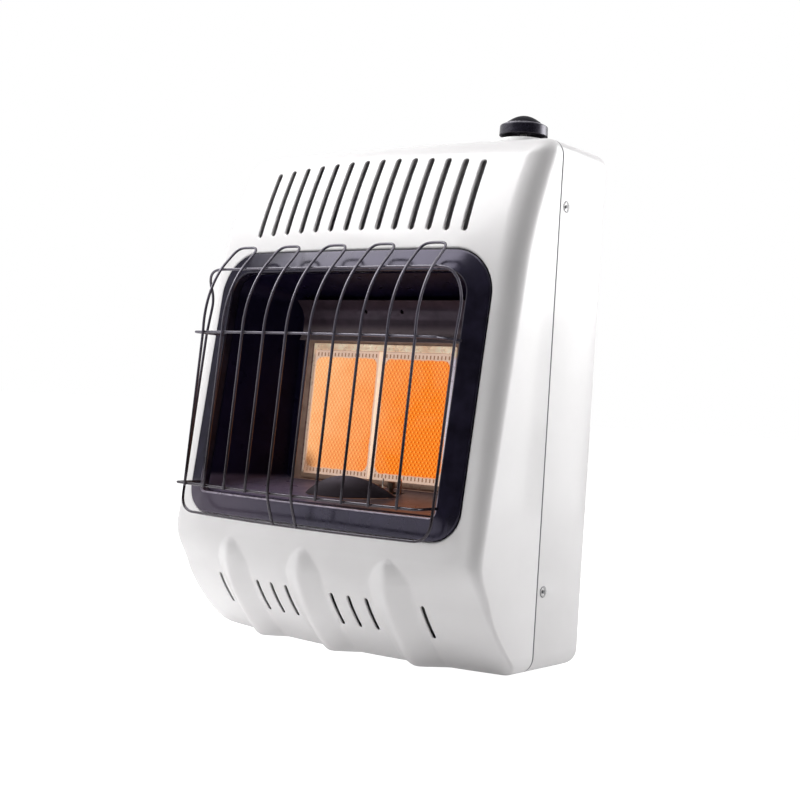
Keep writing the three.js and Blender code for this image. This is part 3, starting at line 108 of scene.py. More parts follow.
# Front openings: each lip is the radius of a rolled edge, each collar the depth that it turns in,
# and the cutters start at a y in front of everything
UPPER_SLOTS = 14
UPPER_PITCH = 23.2
UPPER_WIDTH = 6.6
UPPER_TOP = 570
UPPER_TOP_ARCH = 7.9
UPPER_FOOT = 483.2
UPPER_FOOT_ARCH = 3.8
UPPER_LIP = 1.5
UPPER_COLLAR = 3
LOWER_WIDTH = 5
LOWER_TOP = 74.8
LOWER_FOOT = 38.2
LOWER_GROUP = 57.3
LOWER_PITCH = 23.4
LOWER_OUTER = 149.7
LOWER_LIP = 0.9
LOWER_COLLAR = 2.5
OPENING_LIP = 3
OPENING_COLLAR = 8
CUTTER_START = -320
CUTTER_PAST_SEAM = 6

# Bezel and firebox, with the bezel's section as insets from its outline and rises over the face,
# and the cutters' low and high ends in x, y and z, the burner's in its leaning frame
BEZEL_HALF_WIDTH = 197
BEZEL_LOW = 146
BEZEL_HIGH = 459
BEZEL_TOP_RADIUS = 52
BEZEL_FOOT_RADIUS = 32
BEZEL_WIDTH = 25
BEZEL_EDGE_INSET = 22.8
BEZEL_EDGE_RISE = 5.5
BEZEL_ROUNDING = 0.7
BEZEL_SECTION = (
    (0, -8), (0, 1.0), (0.9, 2.2), (2.6, 2.5), (21.2, 7.3), (23.2, 7.7), (24.6, 7.2), (25, 5.6),
    (25, -12), (24, -12), (24, 5.2), (21.4, 6.2), (3, 1.4), (1, 0.3), (1, -8),
)
FIREBOX_RECESS = 5
FIREBOX_GAP = 0.3
BACK_HALF_WIDTH = 132
BACK_LOW = 189
BACK_HIGH = 412
BACK_CORNER = 8
BURNER_HEIGHT = 275
BURNER_DEPTH = 123
BURNER_LEAN = math.atan2(10.4, 165)
WALL_FRONT = 2.0
BURNER_CUTTER = (-104, 104, -5, 8, -77.8, 73.8)
PILOT_CUTTER = (33.4, 67.6, -154.9, -145.1, 174, 198)

# Heat deflector: each fold is its distance before the back wall, the height at which that wall
# is taken, and its own height
DEFLECTOR_HALF_WIDTH = 127
DEFLECTOR_GAP = 0.3
DEFLECTOR_BEND = 3
DEFLECTOR_FOLDS = ((15.5, 388, 409), (4.5, 388, 398), (0, 388, 388), (0, 370, 370), (6, 370, 360))
DEFLECTOR_HOLE_X = 27
DEFLECTOR_HOLE_HEIGHT = 396
DEFLECTOR_HOLE_RADIUS = 2.4

# Pilot shield
SHIELD_X = 18
SHIELD_HALF_WIDTH = 56
SHIELD_DEPTH = 184
SHIELD_SKEW = 12
SHIELD_BOW = 15
SHIELD_THICKNESS = 1.4
SHIELD_END_RISE = 1.2
SHIELD_RISE = 24
SHIELD_LEAN = 6
SHIELD_BULGE = 2
SHIELD_GAP = 0.3

# Burner, in its leaning frame
FRAME_HALF_WIDTH = 108
FRAME_TOP = 82
FRAME_FOOT = 83
FRAME_THICKNESS = 1.7
FRAME_TOP_STRIP = 8
FRAME_CORNER = 2.5
FRAME_BEVEL = 0.35
WINDOW_HALF_WIDTH = 102.8
WINDOW_FOOT = -77.8
WINDOW_CORNER = 1
MARK_XS = (-92, -55, -18, 18, 55, 92)
MARK_HEIGHT = 78
MARK_RADIUS = 1.5
MARK_DEPTH = 0.7
DIVIDER_HALF_WIDTH = 3.2
DIVIDER_FRONT = 0.5
DIVIDER_BEVEL = 0.7
PLAQUE_INNER = 3.5
PLAQUE_OUTER = 102.5
PLAQUE_TOP = 73.5
PLAQUE_FOOT = 77.5
PLAQUE_RECESS = 1.2
PLAQUE_BACK = 13.2
PLAQUE_MARGIN = 1.6
HOLE_PITCH = 5.2
HOLE_ROW = 3.8
HOLE_RADIUS = 1.3
HOLE_DEPTH = 1.8
NUB_RADIUS = 1.0
NUB_HEIGHT = 0.5
TOOTH_PITCH = 5.2
TOOTH_WIDTH = 1.9
TOOTH_BAND = 8

# Guard, with the wire tip's steps as shares of its length and radius
WIRE = 1.6
WIRE_SIDES = 12
WIRE_TIP_LENGTH = 0.6
WIRE_TIP = ((0.35, 0.92), (0.7, 0.7), (0.94, 0.32))
WELD_RADIUS = 1.9
WELD_HALF_LENGTH = 1.5
HAIRPINS = 5
HAIRPIN_PITCH = 34.4
FOOT_HEIGHT = 181
FOOT_DEPTH = 284.2
ARC_HEIGHT = 349.6
ARC_DEPTH = 139.3
ARC_RADIUS = 130.7
ARC_START = math.radians(5)
ARC_END = math.radians(46.8)
TOP_REACH = 24.8
TOP_LEAN = math.radians(44)
GUARD_HALF_WIDTH = 182
GUARD_BOW = 12
GUARD_TOP_BOW = 1
GUARD_BOW_FADE = 80
MID_BAR = 358.5
BAR_OVERHANG = 20
BAR_SETBACK = 3.5
BAR_BEND = 5
BAR_END_GAP = 8
PERIMETER_TOP = math.radians(41.9)
PERIMETER_CORNER = 25
PERIMETER_SHOULDER_DEPTH = 223
PERIMETER_SHOULDER_DROP = 24.5
PERIMETER_FLANK = ((219.5, 400), (228, 358.6), (250, 170))
PERIMETER_FOOT_HEIGHT = 146.5
PERIMETER_FOOT_DEPTH = 268.5
PERIMETER_FOOT_BOW = 20

# Knob and collar: the bead's steps are insets from the knob's rim and rises over it, and the
# heights of its hollow and hub are over its foot
KNOB_X = 144.2
KNOB_Y = -62
KNOB_FOOT = 604.9
KNOB_TOP = 628.5
KNOB_RADIUS = 28
KNOB_INSET = 0.3
KNOB_SIDE = 10.2
KNOB_SHOULDER = 3.3
KNOB_SHOULDER_RISE = 2.1
KNOB_BEAD = ((0, 0), (0.1, 0.5), (0.3, 0.8), (0.9, 0.8), (1.3, 0.4))
KNOB_DOME_POWER = 1.9
KNOB_WALL = 2.8
KNOB_HOLLOW = 8
HUB_BORE = 4.3
HUB_RADIUS = 8
HUB_FOOT = 2
HUB_ROOF = 12.3
LATHE_SIDES = 96
COLLAR_FOOT = 590.3
COLLAR_TOP = 599.5
COLLAR_RADIUS = 30
COLLAR_BORE = 4.6
COLLAR_NECK = 8.7
COLLAR_NECK_FOOT = 584

# Side screws: radii and heights over the seat, of the head and of its parts painted dark as painted
# shade, which are the cross's floor and the washer's rim
SCREW_HIGH = 516
SCREW_LOW = 91
SCREW_DEPTH = 90
SCREW_SEAT = HALF_CASE + 0.3
SCREW_BORE = 2.1
SCREW_BORE_REACH = (210, 230)
SCREW_HEAD = (
    (0.01, 2.4), (1.8, 2.35), (3.2, 2.1), (4.0, 1.5), (4.3, 0.5), (5.6, 0.7), (6.2, 0.4), (6.2, 0),
    (1.8, 0), (1.8, -7), (0.01, -7),
)
SCREW_SHADED = (((0.01, 1.15), (1.9, 1.15)), ((5.55, 0.72), (6.2, 0.44), (6.24, 0)))
CROSS_FLOOR = 1.1
CROSS_TOP = 4
CROSS_ARMS = ((1.8, 0.5), (0.5, 1.8))

# Camera, solved from the photograph: turns in radians, place in millimetres, focal length in
# pixels of the picture
CAMERA_AZIMUTH = 0.6496482
CAMERA_ELEVATION = -0.0052729
CAMERA_ROLL = 0.0614324
CAMERA_PLACE = (999.927, -1392.779, 284.270)
FOCAL_PIXELS = 1367.5335
PICTURE_PIXELS = 800
SENSOR = 36

# Studio, in metres, degrees and watts: the backdrop's strength behind the heater, before it and
# overhead, the way to its front with the bands over which it changes, the floor's strength as the
# camera sees it and as it lights, on the left and on the right, then azimuth, elevation,
# distance, width, height and power of each softbox
BACKDROP_LIGHT = (0.15, 0, 0)
BACKDROP_IN_GLOSS = (1.0, 0.06, 0.5)
FRONT_WAY = (0.60, -0.80, 0.0)
FRONT_BAND = (-0.15, 0.7)
OVERHEAD_BAND = (0.35, 0.9)
FLOOR_SEEN = 0.95
FLOOR_GLOW = (0.48, 0.02)
FLOOR_REACH = 40
FLOOR_DROP = 0.0005
SOFTBOX_AIM = (0, 0, 0.3)
SOFTBOXES = {
    "key_softbox": (-45, 50, 2.4, 1.3, 1.3, 36),
    "left_softbox": (-75, 45, 2.4, 1.1, 1.1, 15),
    "right_softbox": (145, 25, 2.4, 1.3, 1.6, 29),
    "low_right_softbox": (136, 10, 2.8, 1.4, 1.6, 23),
    "top_softbox": (0, 82, 2.4, 1.5, 1.5, 24),
}


def point(x, y, z):
    return Vector((x * MM, y * MM + REAR_Y, z * MM))


def clamp01(value):
    return min(max(value, 0), 1)


def mixed(a, b, share):
    return a + (b - a) * clamp01(share)


def smooth_mixed(a, b, share):
    s = clamp01(share)
    return a + (b - a) * s * s * (3 - 2 * s)


def evenly(low, high, spans):
    return [low + (high - low) * k / spans for k in range(spans + 1)]


def side_to_side(half, spans):
    return [half * (2 * k / spans - 1) for k in range(spans + 1)]


def quarter(steps):
    """Cosines and sines over a quarter turn."""
    angles = [math.pi / 2 * k / steps for k in range(steps + 1)]
    return [(math.cos(angle), math.sin(angle)) for angle in angles]


def circle(a, b, radius, sides):
    angles = [2 * math.pi * k / sides for k in range(sides)]
    return [(a + radius * math.cos(angle), b + radius * math.sin(angle)) for angle in angles]


def bend(start, corner, end, spans):
    """Points of a curve from start to end that is drawn towards the corner."""
    return [start * (1 - t) ** 2 + corner * 2 * t * (1 - t) + end * t ** 2
            for t in evenly(0, 1, spans)]


def tangents(path):
    """The direction at each point of a path."""
    return [(after - before).normalized()
            for before, after in zip(path[:1] + path, path[1:] + path[-1:])]


def placed(a, b, along, axis):
    """A point with its place along an axis (0 for x, 1 for y, 2 for z) and its other two values."""
    values = [a, b]
    values.insert(axis, along)
    return tuple(values)


# Surfaces of the casing

def face_depth(x, z):
    leaning = FACE_DEPTH_AT_CROWN + FACE_LEAN_RUN * (CROWN_START - z) / FACE_LEAN_HEIGHT
    crown = CROWN_DROP * clamp01((z - CROWN_START) / (CASE_HEIGHT - CROWN_START)) ** CROWN_POWER
    chin = CHIN_DROP * clamp01((CHIN_START - z) / CHIN_START) ** CHIN_POWER
    bow = smooth_mixed(BOW_LOWER, BOW_UPPER, (z - BOW_TURN_LOW) / (BOW_TURN_HIGH - BOW_TURN_LOW))
    return leaning - crown - chin - bow * (x / HALF_CASE) ** 2


def edge_radius(z):
    if z > CHIN_START:
        return mixed(EDGE_WAIST, EDGE_CROWN, (z - CHIN_START) / (CROWN_START - CHIN_START))
    return mixed(EDGE_FOOT, EDGE_WAIST, (z - EDGE_TURN_LOW) / (CHIN_START - EDGE_TURN_LOW))


def inside_outline(x, z):
    dx = abs(x) - (HALF_CASE - CASE_CORNER)
    dz = abs(z - CASE_HEIGHT / 2) - (CASE_HEIGHT / 2 - CASE_CORNER)
    outer = math.hypot(max(dx, 0), max(dz, 0)) + min(max(dx, dz), 0)
    return max(CASE_CORNER - outer, 0)


def edge_drop(x, z):
    radius = edge_radius(z)
    inside = inside_outline(x, z)
    if inside >= radius:
        return 0
    return radius - math.sqrt(radius ** 2 - (radius - inside) ** 2)


def tent(u):
    """1 at the middle and 0 at the ends, with a rounded crest."""
    if abs(u) >= 1:
        return 0
    edge = math.hypot(1, RIDGE_CREST_SHARE)
    return (edge - math.hypot(u, RIDGE_CREST_SHARE)) / (edge - RIDGE_CREST_SHARE)


def ridge_rise(x, z):
    if z >= RIDGE_TOP:
        return 0
    head = math.sqrt(clamp01((RIDGE_TOP - z) / RIDGE_HEAD))
    rise = mixed(RIDGE_RISE_FOOT, RIDGE_RISE_HEAD, z / (RIDGE_TOP - RIDGE_HEAD)) * head
    return sum(rise * tent((x - centre) / (RIDGE_HALF_WIDTH * head))
               for centre in (-RIDGE_SPACING, 0, RIDGE_SPACING))


def cover_depth(x, z):
    return face_depth(x, z) - edge_drop(x, z) + ridge_rise(x, z)


def half_width_at(z):
    over = max(abs(z - CASE_HEIGHT / 2) - (CASE_HEIGHT / 2 - CASE_CORNER), 0)
    return HALF_CASE - CASE_CORNER + math.sqrt(max(CASE_CORNER ** 2 - over ** 2, 0))


def rounded_frame(half_width, low, high, top_radius, foot_radius, inset, corner, across, up):
    """Points of a rounded rectangle in x and z, with spans on each corner and each side."""
    half_width -= inset
    low += inset
    high -= inset
    top_radius = max(top_radius - inset, 0.3)
    foot_radius = max(foot_radius - inset, 0.3)
    corners = [
        (half_width - foot_radius, low + foot_radius, foot_radius, -0.5, up),
        (half_width - top_radius, high - top_radius, top_radius, 0, across),
        (top_radius - half_width, high - top_radius, top_radius, 0.5, up),
        (foot_radius - half_width, low + foot_radius, foot_radius, 1, across),
    ]
    arcs = []
    for x, z, radius, start, _ in corners:
        angles = [math.pi * (start + 0.5 * k / corner) for k in range(corner + 1)]
        arcs.append([(x + radius * math.cos(a), z + radius * math.sin(a)) for a in angles])
    points = []
    for i, arc in enumerate(arcs):
        x0, z0 = arc[-1]
        x1, z1 = arcs[(i + 1) % 4][0]
        spans = corners[i][4]
        points += arc + list(zip(evenly(x0, x1, spans), evenly(z0, z1, spans)))[1:-1]
    return points


def case_outline(inset):
    return rounded_frame(HALF_CASE, 0, CASE_HEIGHT, CASE_CORNER, CASE_CORNER, inset, 16, 12, 16)


def bezel_outline(inset, corner=16, across=30, up=24):
    return rounded_frame(BEZEL_HALF_WIDTH, BEZEL_LOW, BEZEL_HIGH, BEZEL_TOP_RADIUS,
                         BEZEL_FOOT_RADIUS, inset, corner, across, up)


def slot_outline(x, low, high, width, rows=14):
    """An upright slot with round ends, anticlockwise in x and z."""
    radius = width / 2
    top, foot = high - radius, low + radius

    def arc(z, start):
        angles = [start + turn for turn in evenly(0, math.pi, 8)]
        return [(x + radius * math.cos(a), z + radius * math.sin(a)) for a in angles]

    steps = evenly(0, high - low - width, rows)[1:-1]
    left = [(x - radius, top - step) for step in steps]
    right = [(x + radius, foot + step) for step in steps]
    return arc(top, 0) + left + arc(foot, math.pi) + right


# Mesh building

def edit(mesh, change):
    """Lets a function change a mesh."""
    work = bmesh.new()
    work.from_mesh(mesh)
    change(work)
    work.to_mesh(mesh)
    work.free()


def new_object(name, data):
    obj = bpy.data.objects.new(name, data)
    bpy.context.scene.collection.objects.link(obj)
    return obj


class Shape:
    """Collects points and faces in millimetres, then becomes one object."""

    def __init__(self):
        self.points = []
        self.faces = []
        self.slots = []

    def add(self, points, faces, slot=0):
        start = len(self.points)
        self.points += [tuple(p) for p in points]
        self.faces += [tuple(start + i for i in face) for face in faces]
        self.slots += [slot] * len(faces)
        return self

    def loft(self, rings, closed=False, caps=True, slot=0):
        """Skins rings of equal count. A closed loft joins its last ring to its first."""
        count = len(rings[0])
        faces = []
        for i in range(len(rings) if closed else len(rings) - 1):
            a = i * count
            b = (i + 1) % len(rings) * count
            for j in range(count):
                k = (j + 1) % count
                faces.append((a + j, a + k, b + k, b + j))
        if caps and not closed:
            faces.append(tuple(reversed(range(count))))
            faces.append(tuple((len(rings) - 1) * count + j for j in range(count)))
        return self.add([p for ring in rings for p in ring], faces, slot)

    def prism(self, outline, start, end, axis=1):
        """An outline carried along an axis."""
        return self.loft([[placed(a, b, along, axis) for a, b in outline] for along in (start, end)])

    def turned(self, profile, a, b, sides, axis=2, closed=False, caps=False, slot=0):
        """A lathe of (radius, place along the axis) pairs."""
        rings = [[placed(*p, along, axis) for p in circle(a, b, radius, sides)]
                 for radius, along in profile]
        return self.loft(rings, closed, caps, slot)

    def box(self, x0, x1, y0, y1, z0, z1):
        points = [(x, y, z) for x in (x0, x1) for y in (y0, y1) for z in (z0, z1)]
        faces = [(0, 1, 3, 2), (4, 6, 7, 5), (0, 4, 5, 1), (2, 3, 7, 6), (0, 2, 6, 4), (1, 5, 7, 3)]
        return self.add(points, faces)

    def leaning(self):
        """Turns points given in the burner's frame into the heater's."""
        c, s = math.cos(BURNER_LEAN), math.sin(BURNER_LEAN)
        self.points = [(x, y * c + z * s - BURNER_DEPTH, -y * s + z * c + BURNER_HEIGHT)
                       for x, y, z in self.points]
        return self

    def mesh(self, name):
        def clean(work):
            bmesh.ops.remove_doubles(work, verts=work.verts, dist=1e-6)
            bmesh.ops.recalc_face_normals(work, faces=work.faces)

        mesh = bpy.data.meshes.new(name)
        mesh.from_pydata([point(*p) for p in self.points], [], self.faces)
        mesh.polygons.foreach_set("material_index", self.slots)
        edit(mesh, clean)
        return mesh

    def object(self, name):
        return new_object(name, self.mesh(name))


def smooth_by_angle(mesh, degrees):
    def shade(work):
        for face in work.faces:
            face.smooth = True
        for edge in work.edges:
            flat = edge.calc_face_angle(0) < math.radians(degrees)
            edge.smooth = len(edge.link_faces) == 2 and flat

    edit(mesh, shade)


def evaluate(obj):
    """Replaces an object's mesh with what its modifiers make of it, and drops the modifiers."""
    graph = bpy.context.evaluated_depsgraph_get()
    mesh = bpy.data.meshes.new_from_object(obj.evaluated_get(graph))
    obj.modifiers.clear()
    old = obj.data
    obj.data = mesh
    bpy.data.meshes.remove(old)


def cut_away(obj, cutter_shape):
    """Subtracts a closed shape from a closed object."""
    cutter = cutter_shape.object("cutter")
    modifier = obj.modifiers.new("cut", "BOOLEAN")
    modifier.operation = "DIFFERENCE"
    modifier.solver = "EXACT"
    modifier.object = cutter
    evaluate(obj)
    mesh = cutter.data
    bpy.data.objects.remove(cutter)
    bpy.data.meshes.remove(mesh)


def join(obj, shape):
    """Adds a shape's faces to an object."""
    extra = shape.mesh("extra")
    edit(obj.data, lambda work: work.from_mesh(extra))
    bpy.data.meshes.remove(extra)


def bevel(obj, width, segments):
    modifier = obj.modifiers.new("bevel", "BEVEL")
    modifier.width = width * MM
    modifier.segments = segments
    modifier.limit_method = "ANGLE"
    modifier.angle_limit = math.radians(40)
    modifier.harden_normals = False
    evaluate(obj)


def piece(obj, slot, *nodes, looks=(), body=BODY, smooth=30):
    """Finishes a new piece: its looks, which default to the slot's look, its shading and body, and
    hides the CAD nodes that it stands for.
    """
    for name in looks or (slot,):
        obj.data.materials.append(LOOKS[name])
    smooth_by_angle(obj.data, smooth)
    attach(obj, body)
    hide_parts(*nodes)


def rounded_path(points, radius, spans=10, slight=28):
    """Straight runs with rounded corners. Turns under slight degrees are kept as they are."""
    path = [Vector(p) for p in points]
    runs = [b - a for a, b in zip(path, path[1:])]
    bends = [0 < i < len(runs) and runs[i - 1].angle(runs[i]) > math.radians(slight)
             for i in range(len(path))]
    room = [run.length * (0.48 if bends[i] and bends[i + 1] else 0.95)
            for i, run in enumerate(runs)]
    stations = []
    for i, corner in enumerate(path):
        if not bends[i]:
            stations.append(corner)
            continue
        reach = min(radius, room[i - 1], room[i])
        start = corner - runs[i - 1].normalized() * reach
        stations += bend(start, corner, corner + runs[i].normalized() * reach, spans)
    return stations


def rounded_profile(points, radius):
    """A closed profile whose sharp corners are rounded."""
    corners = [Vector((*p, 0)) for p in points]
    result = []
    for i, here in enumerate(corners):
        into = here - corners[i - 1]
        out = corners[(i + 1) % len(corners)] - here
        if into.angle(out) < 0.15:
            result.append(here)
            continue
        reach = min(radius, into.length * 0.45, out.length * 0.45)
        result += bend(here - into.normalized() * reach, here, here + out.normalized() * reach, 3)
    return [(p.x, p.y) for p in result]


def wire(points, closed=False):
    """A round wire along points, with its section carried along without twisting."""
    path = [Vector(p) for p in points]
    along = tangents(path)
    normal = along[0].orthogonal().normalized()
    rings = []
    for i, (place, tangent) in enumerate(zip(path, along)):
        if i:
            normal = along[i - 1].rotation_difference(tangent) @ normal
        across = tangent.cross(normal)
        rings.append([place + WIRE * (normal * c + across * s)
                      for c, s in circle(0, 0, 1, WIRE_SIDES)])
    if closed:
        return Shape().loft(rings[:-1], closed=True)

    def tip(place, outward_step, ring):
        return [[place + outward_step * WIRE * WIRE_TIP_LENGTH * out + (p - place) * size for p in ring]
                for out, size in WIRE_TIP]

    start = tip(path[0], -along[0], rings[0])
    return Shape().loft(start[::-1] + rings + tip(path[-1], along[-1], rings[-1]))


# Materials

class Nodes:
    """Short forms for the nodes of one tree."""

    def __init__(self, tree):
        self.tree = tree

    def give(self, target, value):
        """Links an output to an input, or sets the input."""
        if isinstance(value, bpy.types.NodeSocket):
            self.tree.links.new(value, target)
        elif target.type == "RGBA":
            target.default_value = (*value, 1)
        else:
            target.default_value = value

    def node(self, kind, inputs=(), **settings):
        """A node with its settings, and its inputs given in order or by name."""
        node = self.tree.nodes.new(kind)
        for key, value in settings.items():
            setattr(node, key, value)
        for key, value in inputs.items() if isinstance(inputs, dict) else enumerate(inputs):
            self.give(node.inputs[key], value)
        return node

    def math(self, operation, *values):
        return self.node("ShaderNodeMath", values, operation=operation).outputs["Value"]

    def step(self, value, low, high, first=0, last=1, kind="SMOOTHSTEP"):
        """A soft step from first to last, where the value goes from low to high."""
        inputs = (value, low, high, first, last)
        return self.node("ShaderNodeMapRange", inputs, interpolation_type=kind).outputs["Result"]

    def mix(self, share, a, b, data_type="RGBA"):
        """Goes from a to b with share, for colours, or for numbers where the type is FLOAT."""
        node = self.node("ShaderNodeMix", data_type=data_type)
        kind = "VALUE" if data_type == "FLOAT" else data_type
        ends = [target for target in node.inputs if target.type == kind][-2:]
        for target, value in zip([node.inputs["Factor"]] + ends, (share, a, b)):
            self.give(target, value)
        return [output for output in node.outputs if output.type == kind][0]


class Look(Nodes):
    """A material on one Principled shader, with textures in the frame's own metres."""

    def __init__(self, name, color, roughness, metallic=0.0, **values):
        self.material = bpy.data.materials.new(name)
        self.material.use_nodes = True
        self.material.diffuse_color = (*color, 1)
        super().__init__(self.material.node_tree)
        self.shader = self.tree.nodes["Principled BSDF"]
        self.color = color
        self.set(Base_Color=color, Roughness=roughness, Metallic=metallic, **values)
        self.place = self.node("ShaderNodeTexCoord").outputs["Object"]
        self.x, self.y, self.z = self.node("ShaderNodeSeparateXYZ", [self.place]).outputs

    def set(self, **values):
        for key, value in values.items():
            self.give(self.shader.inputs[key.replace("_", " ")], value)

    def noise(self, size, detail=3, stretch=(1, 1, 1)):
        """Noise whose features are about size millimetres."""
        mapping = self.node("ShaderNodeMapping", {"Vector": self.place, "Scale": stretch})
        inputs = {"Vector": mapping.outputs["Vector"], "Scale": 1 / (size * MM), "Detail": detail}
        return self.node("ShaderNodeTexNoise", inputs).outputs["Fac"]

    def spread(self, value, low=0.0, high=1.0):
        """Stretches the middle of a noise to the range from low to high."""
        return self.step(value, 0.3, 0.7, low, high, "LINEAR")

    def drift(self, size, amount):
        """Noise about 0."""
        return self.math("MULTIPLY", self.math("SUBTRACT", self.noise(size), 0.5), amount)

    def away(self, value, centre):
        return self.math("ABSOLUTE", self.math("SUBTRACT", value, centre))

    def reach(self, a, b):
        """The length of the vector (a, b)."""
        squares = [self.math("MULTIPLY", side, side) for side in (a, b)]
        return self.math("SQRT", self.math("ADD", *squares))

    def ramp(self, value, *stops):
        node = self.node("ShaderNodeValToRGB", [value])
        elements = node.color_ramp.elements
        while len(elements) < len(stops):
            elements.new(0.5)
        for element, (place, color) in zip(elements, stops):
            element.position = place
            element.color = (*color, 1)
        return node.outputs["Color"]

    def varied(self, size, amount, tint=None):
        """The look's colour, drifting by a share of itself over patches of a size."""
        dark = tuple(c * (1 - amount) for c in self.color)
        light = tuple(min(c * (1 + amount), 1) for c in (tint or self.color))
        return self.ramp(self.noise(size, 4), (0.3, dark), (0.7, light))

    def finish(self, color, roughness, *reliefs):
        """Gives the colour, the roughness as (size, low, high) and each relief as (size, detail,
        depth, strength), where sizes and depths are millimetres and a stretch may follow."""
        self.set(Base_Color=color)
        if roughness:
            size, low, high, *stretch = roughness
            self.set(Roughness=self.spread(self.noise(size, 4, *stretch), low, high))
        under = {}
        for size, detail, depth, strength, *stretch in reliefs:
            height = self.noise(size, detail, *stretch)
            inputs = {"Strength": strength, "Distance": depth * MM, "Height": height, **under}
            under = {"Normal": self.node("ShaderNodeBump", inputs).outputs["Normal"]}
        self.set(**under)
        return self.material


def case_paint(name):
    look = Look(name, (0.80, 0.783, 0.788), 0.34, Coat_Weight=0.35, Coat_Roughness=0.12)
    clean = look.varied(60, 0.012, (0.81, 0.795, 0.80))
    # Within about a millimetre of the seam the paint turns dark grey: painted shade in the gap between
    # cover and rear case.
    off_seam = look.away(look.y, REAR_Y - (SEAM_DEPTH + SEAM_GAP / 2) * MM)
    color = look.mix(look.step(off_seam, 0.0017, 0.0008), clean, (0.22, 0.215, 0.23))
    return look.finish(color, (9, 0.30, 0.40), (1.6, 2, 0.02, 0.35), (38, 2, 0.12, 0.25))


def black_enamel(name):
    look = Look(name, (0.010, 0.0085, 0.017), 0.16, Specular_Tint=(0.82, 0.76, 1.0))
    # Reflection strength is set by place: weak on the left, stronger towards the right and raised at
    # the foot.
    right = look.step(look.x, -0.19, 0.03, 0.03, 0.34)
    foot = look.step(look.z, 0.190, 0.165, 0, 0.22)
    look.set(Specular_IOR_Level=look.math("ADD", right, foot))
    # The lower left of the bezel's foot is painted a paler lilac: a painted sheen.
    painted_sheen_mask = look.math("MULTIPLY", look.step(look.x, 0.02, -0.14), look.step(look.z, 0.186, 0.172))
    color = look.mix(painted_sheen_mask, look.varied(25, 0.3, (0.014, 0.012, 0.024)), (0.070, 0.056, 0.080))
    return look.finish(color, (12, 0.13, 0.24), (14, 2, 0.08, 0.3))


def enamel_edge(name):
    look = Look(name, (0.17, 0.15, 0.19), 0.3, Specular_IOR_Level=0.6,
                Specular_Tint=(0.92, 0.88, 1.0))
    # Low on the inner edge the enamel is painted pale lilac grey, a painted highlight where the rolled
    # edge catches light; higher up it stays dark.
    pale = look.varied(10, 0.25, (0.22, 0.19, 0.24))
    color = look.mix(look.step(look.z, 0.186, 0.205), pale, (0.012, 0.010, 0.020))
    return look.finish(color, (12, 0.24, 0.38), (14, 2, 0.05, 0.3))


def firebox_enamel(name):
    """Dark enamel, with the floor painted paler as a painted sheen, and a warm brown patch round the
    burner on the back wall.
    """
    look = Look(name, (0.004, 0.003, 0.012), 0.3, Specular_IOR_Level=0.12,
                Specular_Tint=(0.7, 0.65, 1.0))
    walls = look.mix(look.spread(look.noise(30)), (0.004, 0.003, 0.012), (0.008, 0.006, 0.020))
    # The floor is painted paler than the walls, lilac grey on the left and brownish on the right: a
    # painted sheen.
    floor = look.mix(look.step(look.x, -0.03, 0.06), (0.105, 0.085, 0.13), (0.060, 0.040, 0.042))
    color = look.mix(look.step(look.z, 0.194, 0.187), walls, floor)
    warm_brown = look.mix(look.spread(look.noise(14)), (0.36, 0.23, 0.18), (0.50, 0.33, 0.26))
    tilt = math.tan(BURNER_LEAN)
    wall = REAR_Y - (BURNER_DEPTH - WALL_FRONT) * MM - BURNER_HEIGHT * MM * tilt
    off_wall = look.math("SUBTRACT", look.math("MULTIPLY_ADD", look.z, -tilt, look.y), wall)
    inner = look.step(look.math("ABSOLUTE", look.x), 0.124, 0.117)
    low = look.math("MULTIPLY", look.step(look.z, 0.400, 0.380), inner)
    share = look.math("MULTIPLY", look.step(off_wall, -0.0045, -0.0015), low)
    return look.finish(look.mix(share, color, warm_brown), (16, 0.26, 0.4), (20, 2, 0.1, 0.3))


def dark_shield(name):
    """Dark sheet, with a paler band along the deflector's lower fold that is a painted highlight, and
    darker on the low pilot shield.
    """
    look = Look(name, (0.026, 0.015, 0.022), 0.42, 0.1, Specular_Tint=(0.9, 0.75, 0.95))
    dark = look.varied(14, 0.3, (0.031, 0.018, 0.026))
    color = look.mix(look.step(look.away(look.z, 0.362), 0.020, 0.008), dark, (0.19, 0.15, 0.16))
    color = look.mix(look.step(look.z, 0.30, 0.25), color, (0.011, 0.007, 0.007))
    return look.finish(color, (8, 0.34, 0.55), (3, 3, 0.05, 0.3))


def guard_wire(name):
    look = Look(name, (0.010, 0.006, 0.008), 0.22, Specular_IOR_Level=0.75,
                Specular_Tint=(0.92, 0.86, 1.0))
    dark = look.varied(9, 0.2, (0.014, 0.009, 0.012))
    # Higher up the wires are painted a paler lilac grey, a painted sheen; lower down they stay dark.
    color = look.mix(look.step(look.z, 0.21, 0.35), dark, (0.075, 0.068, 0.090))
    return look.finish(color, (12, 0.18, 0.26), (4, 2, 0.006, 0.2))


def stainless(name):
    look = Look(name, (0.60, 0.58, 0.55), 0.29, 1.0)
    return look.finish(look.varied(12, 0.12), (2.5, 0.22, 0.36, (1, 1, 12)),
                       (0.9, 2, 0.02, 0.25, (1, 1, 14)))


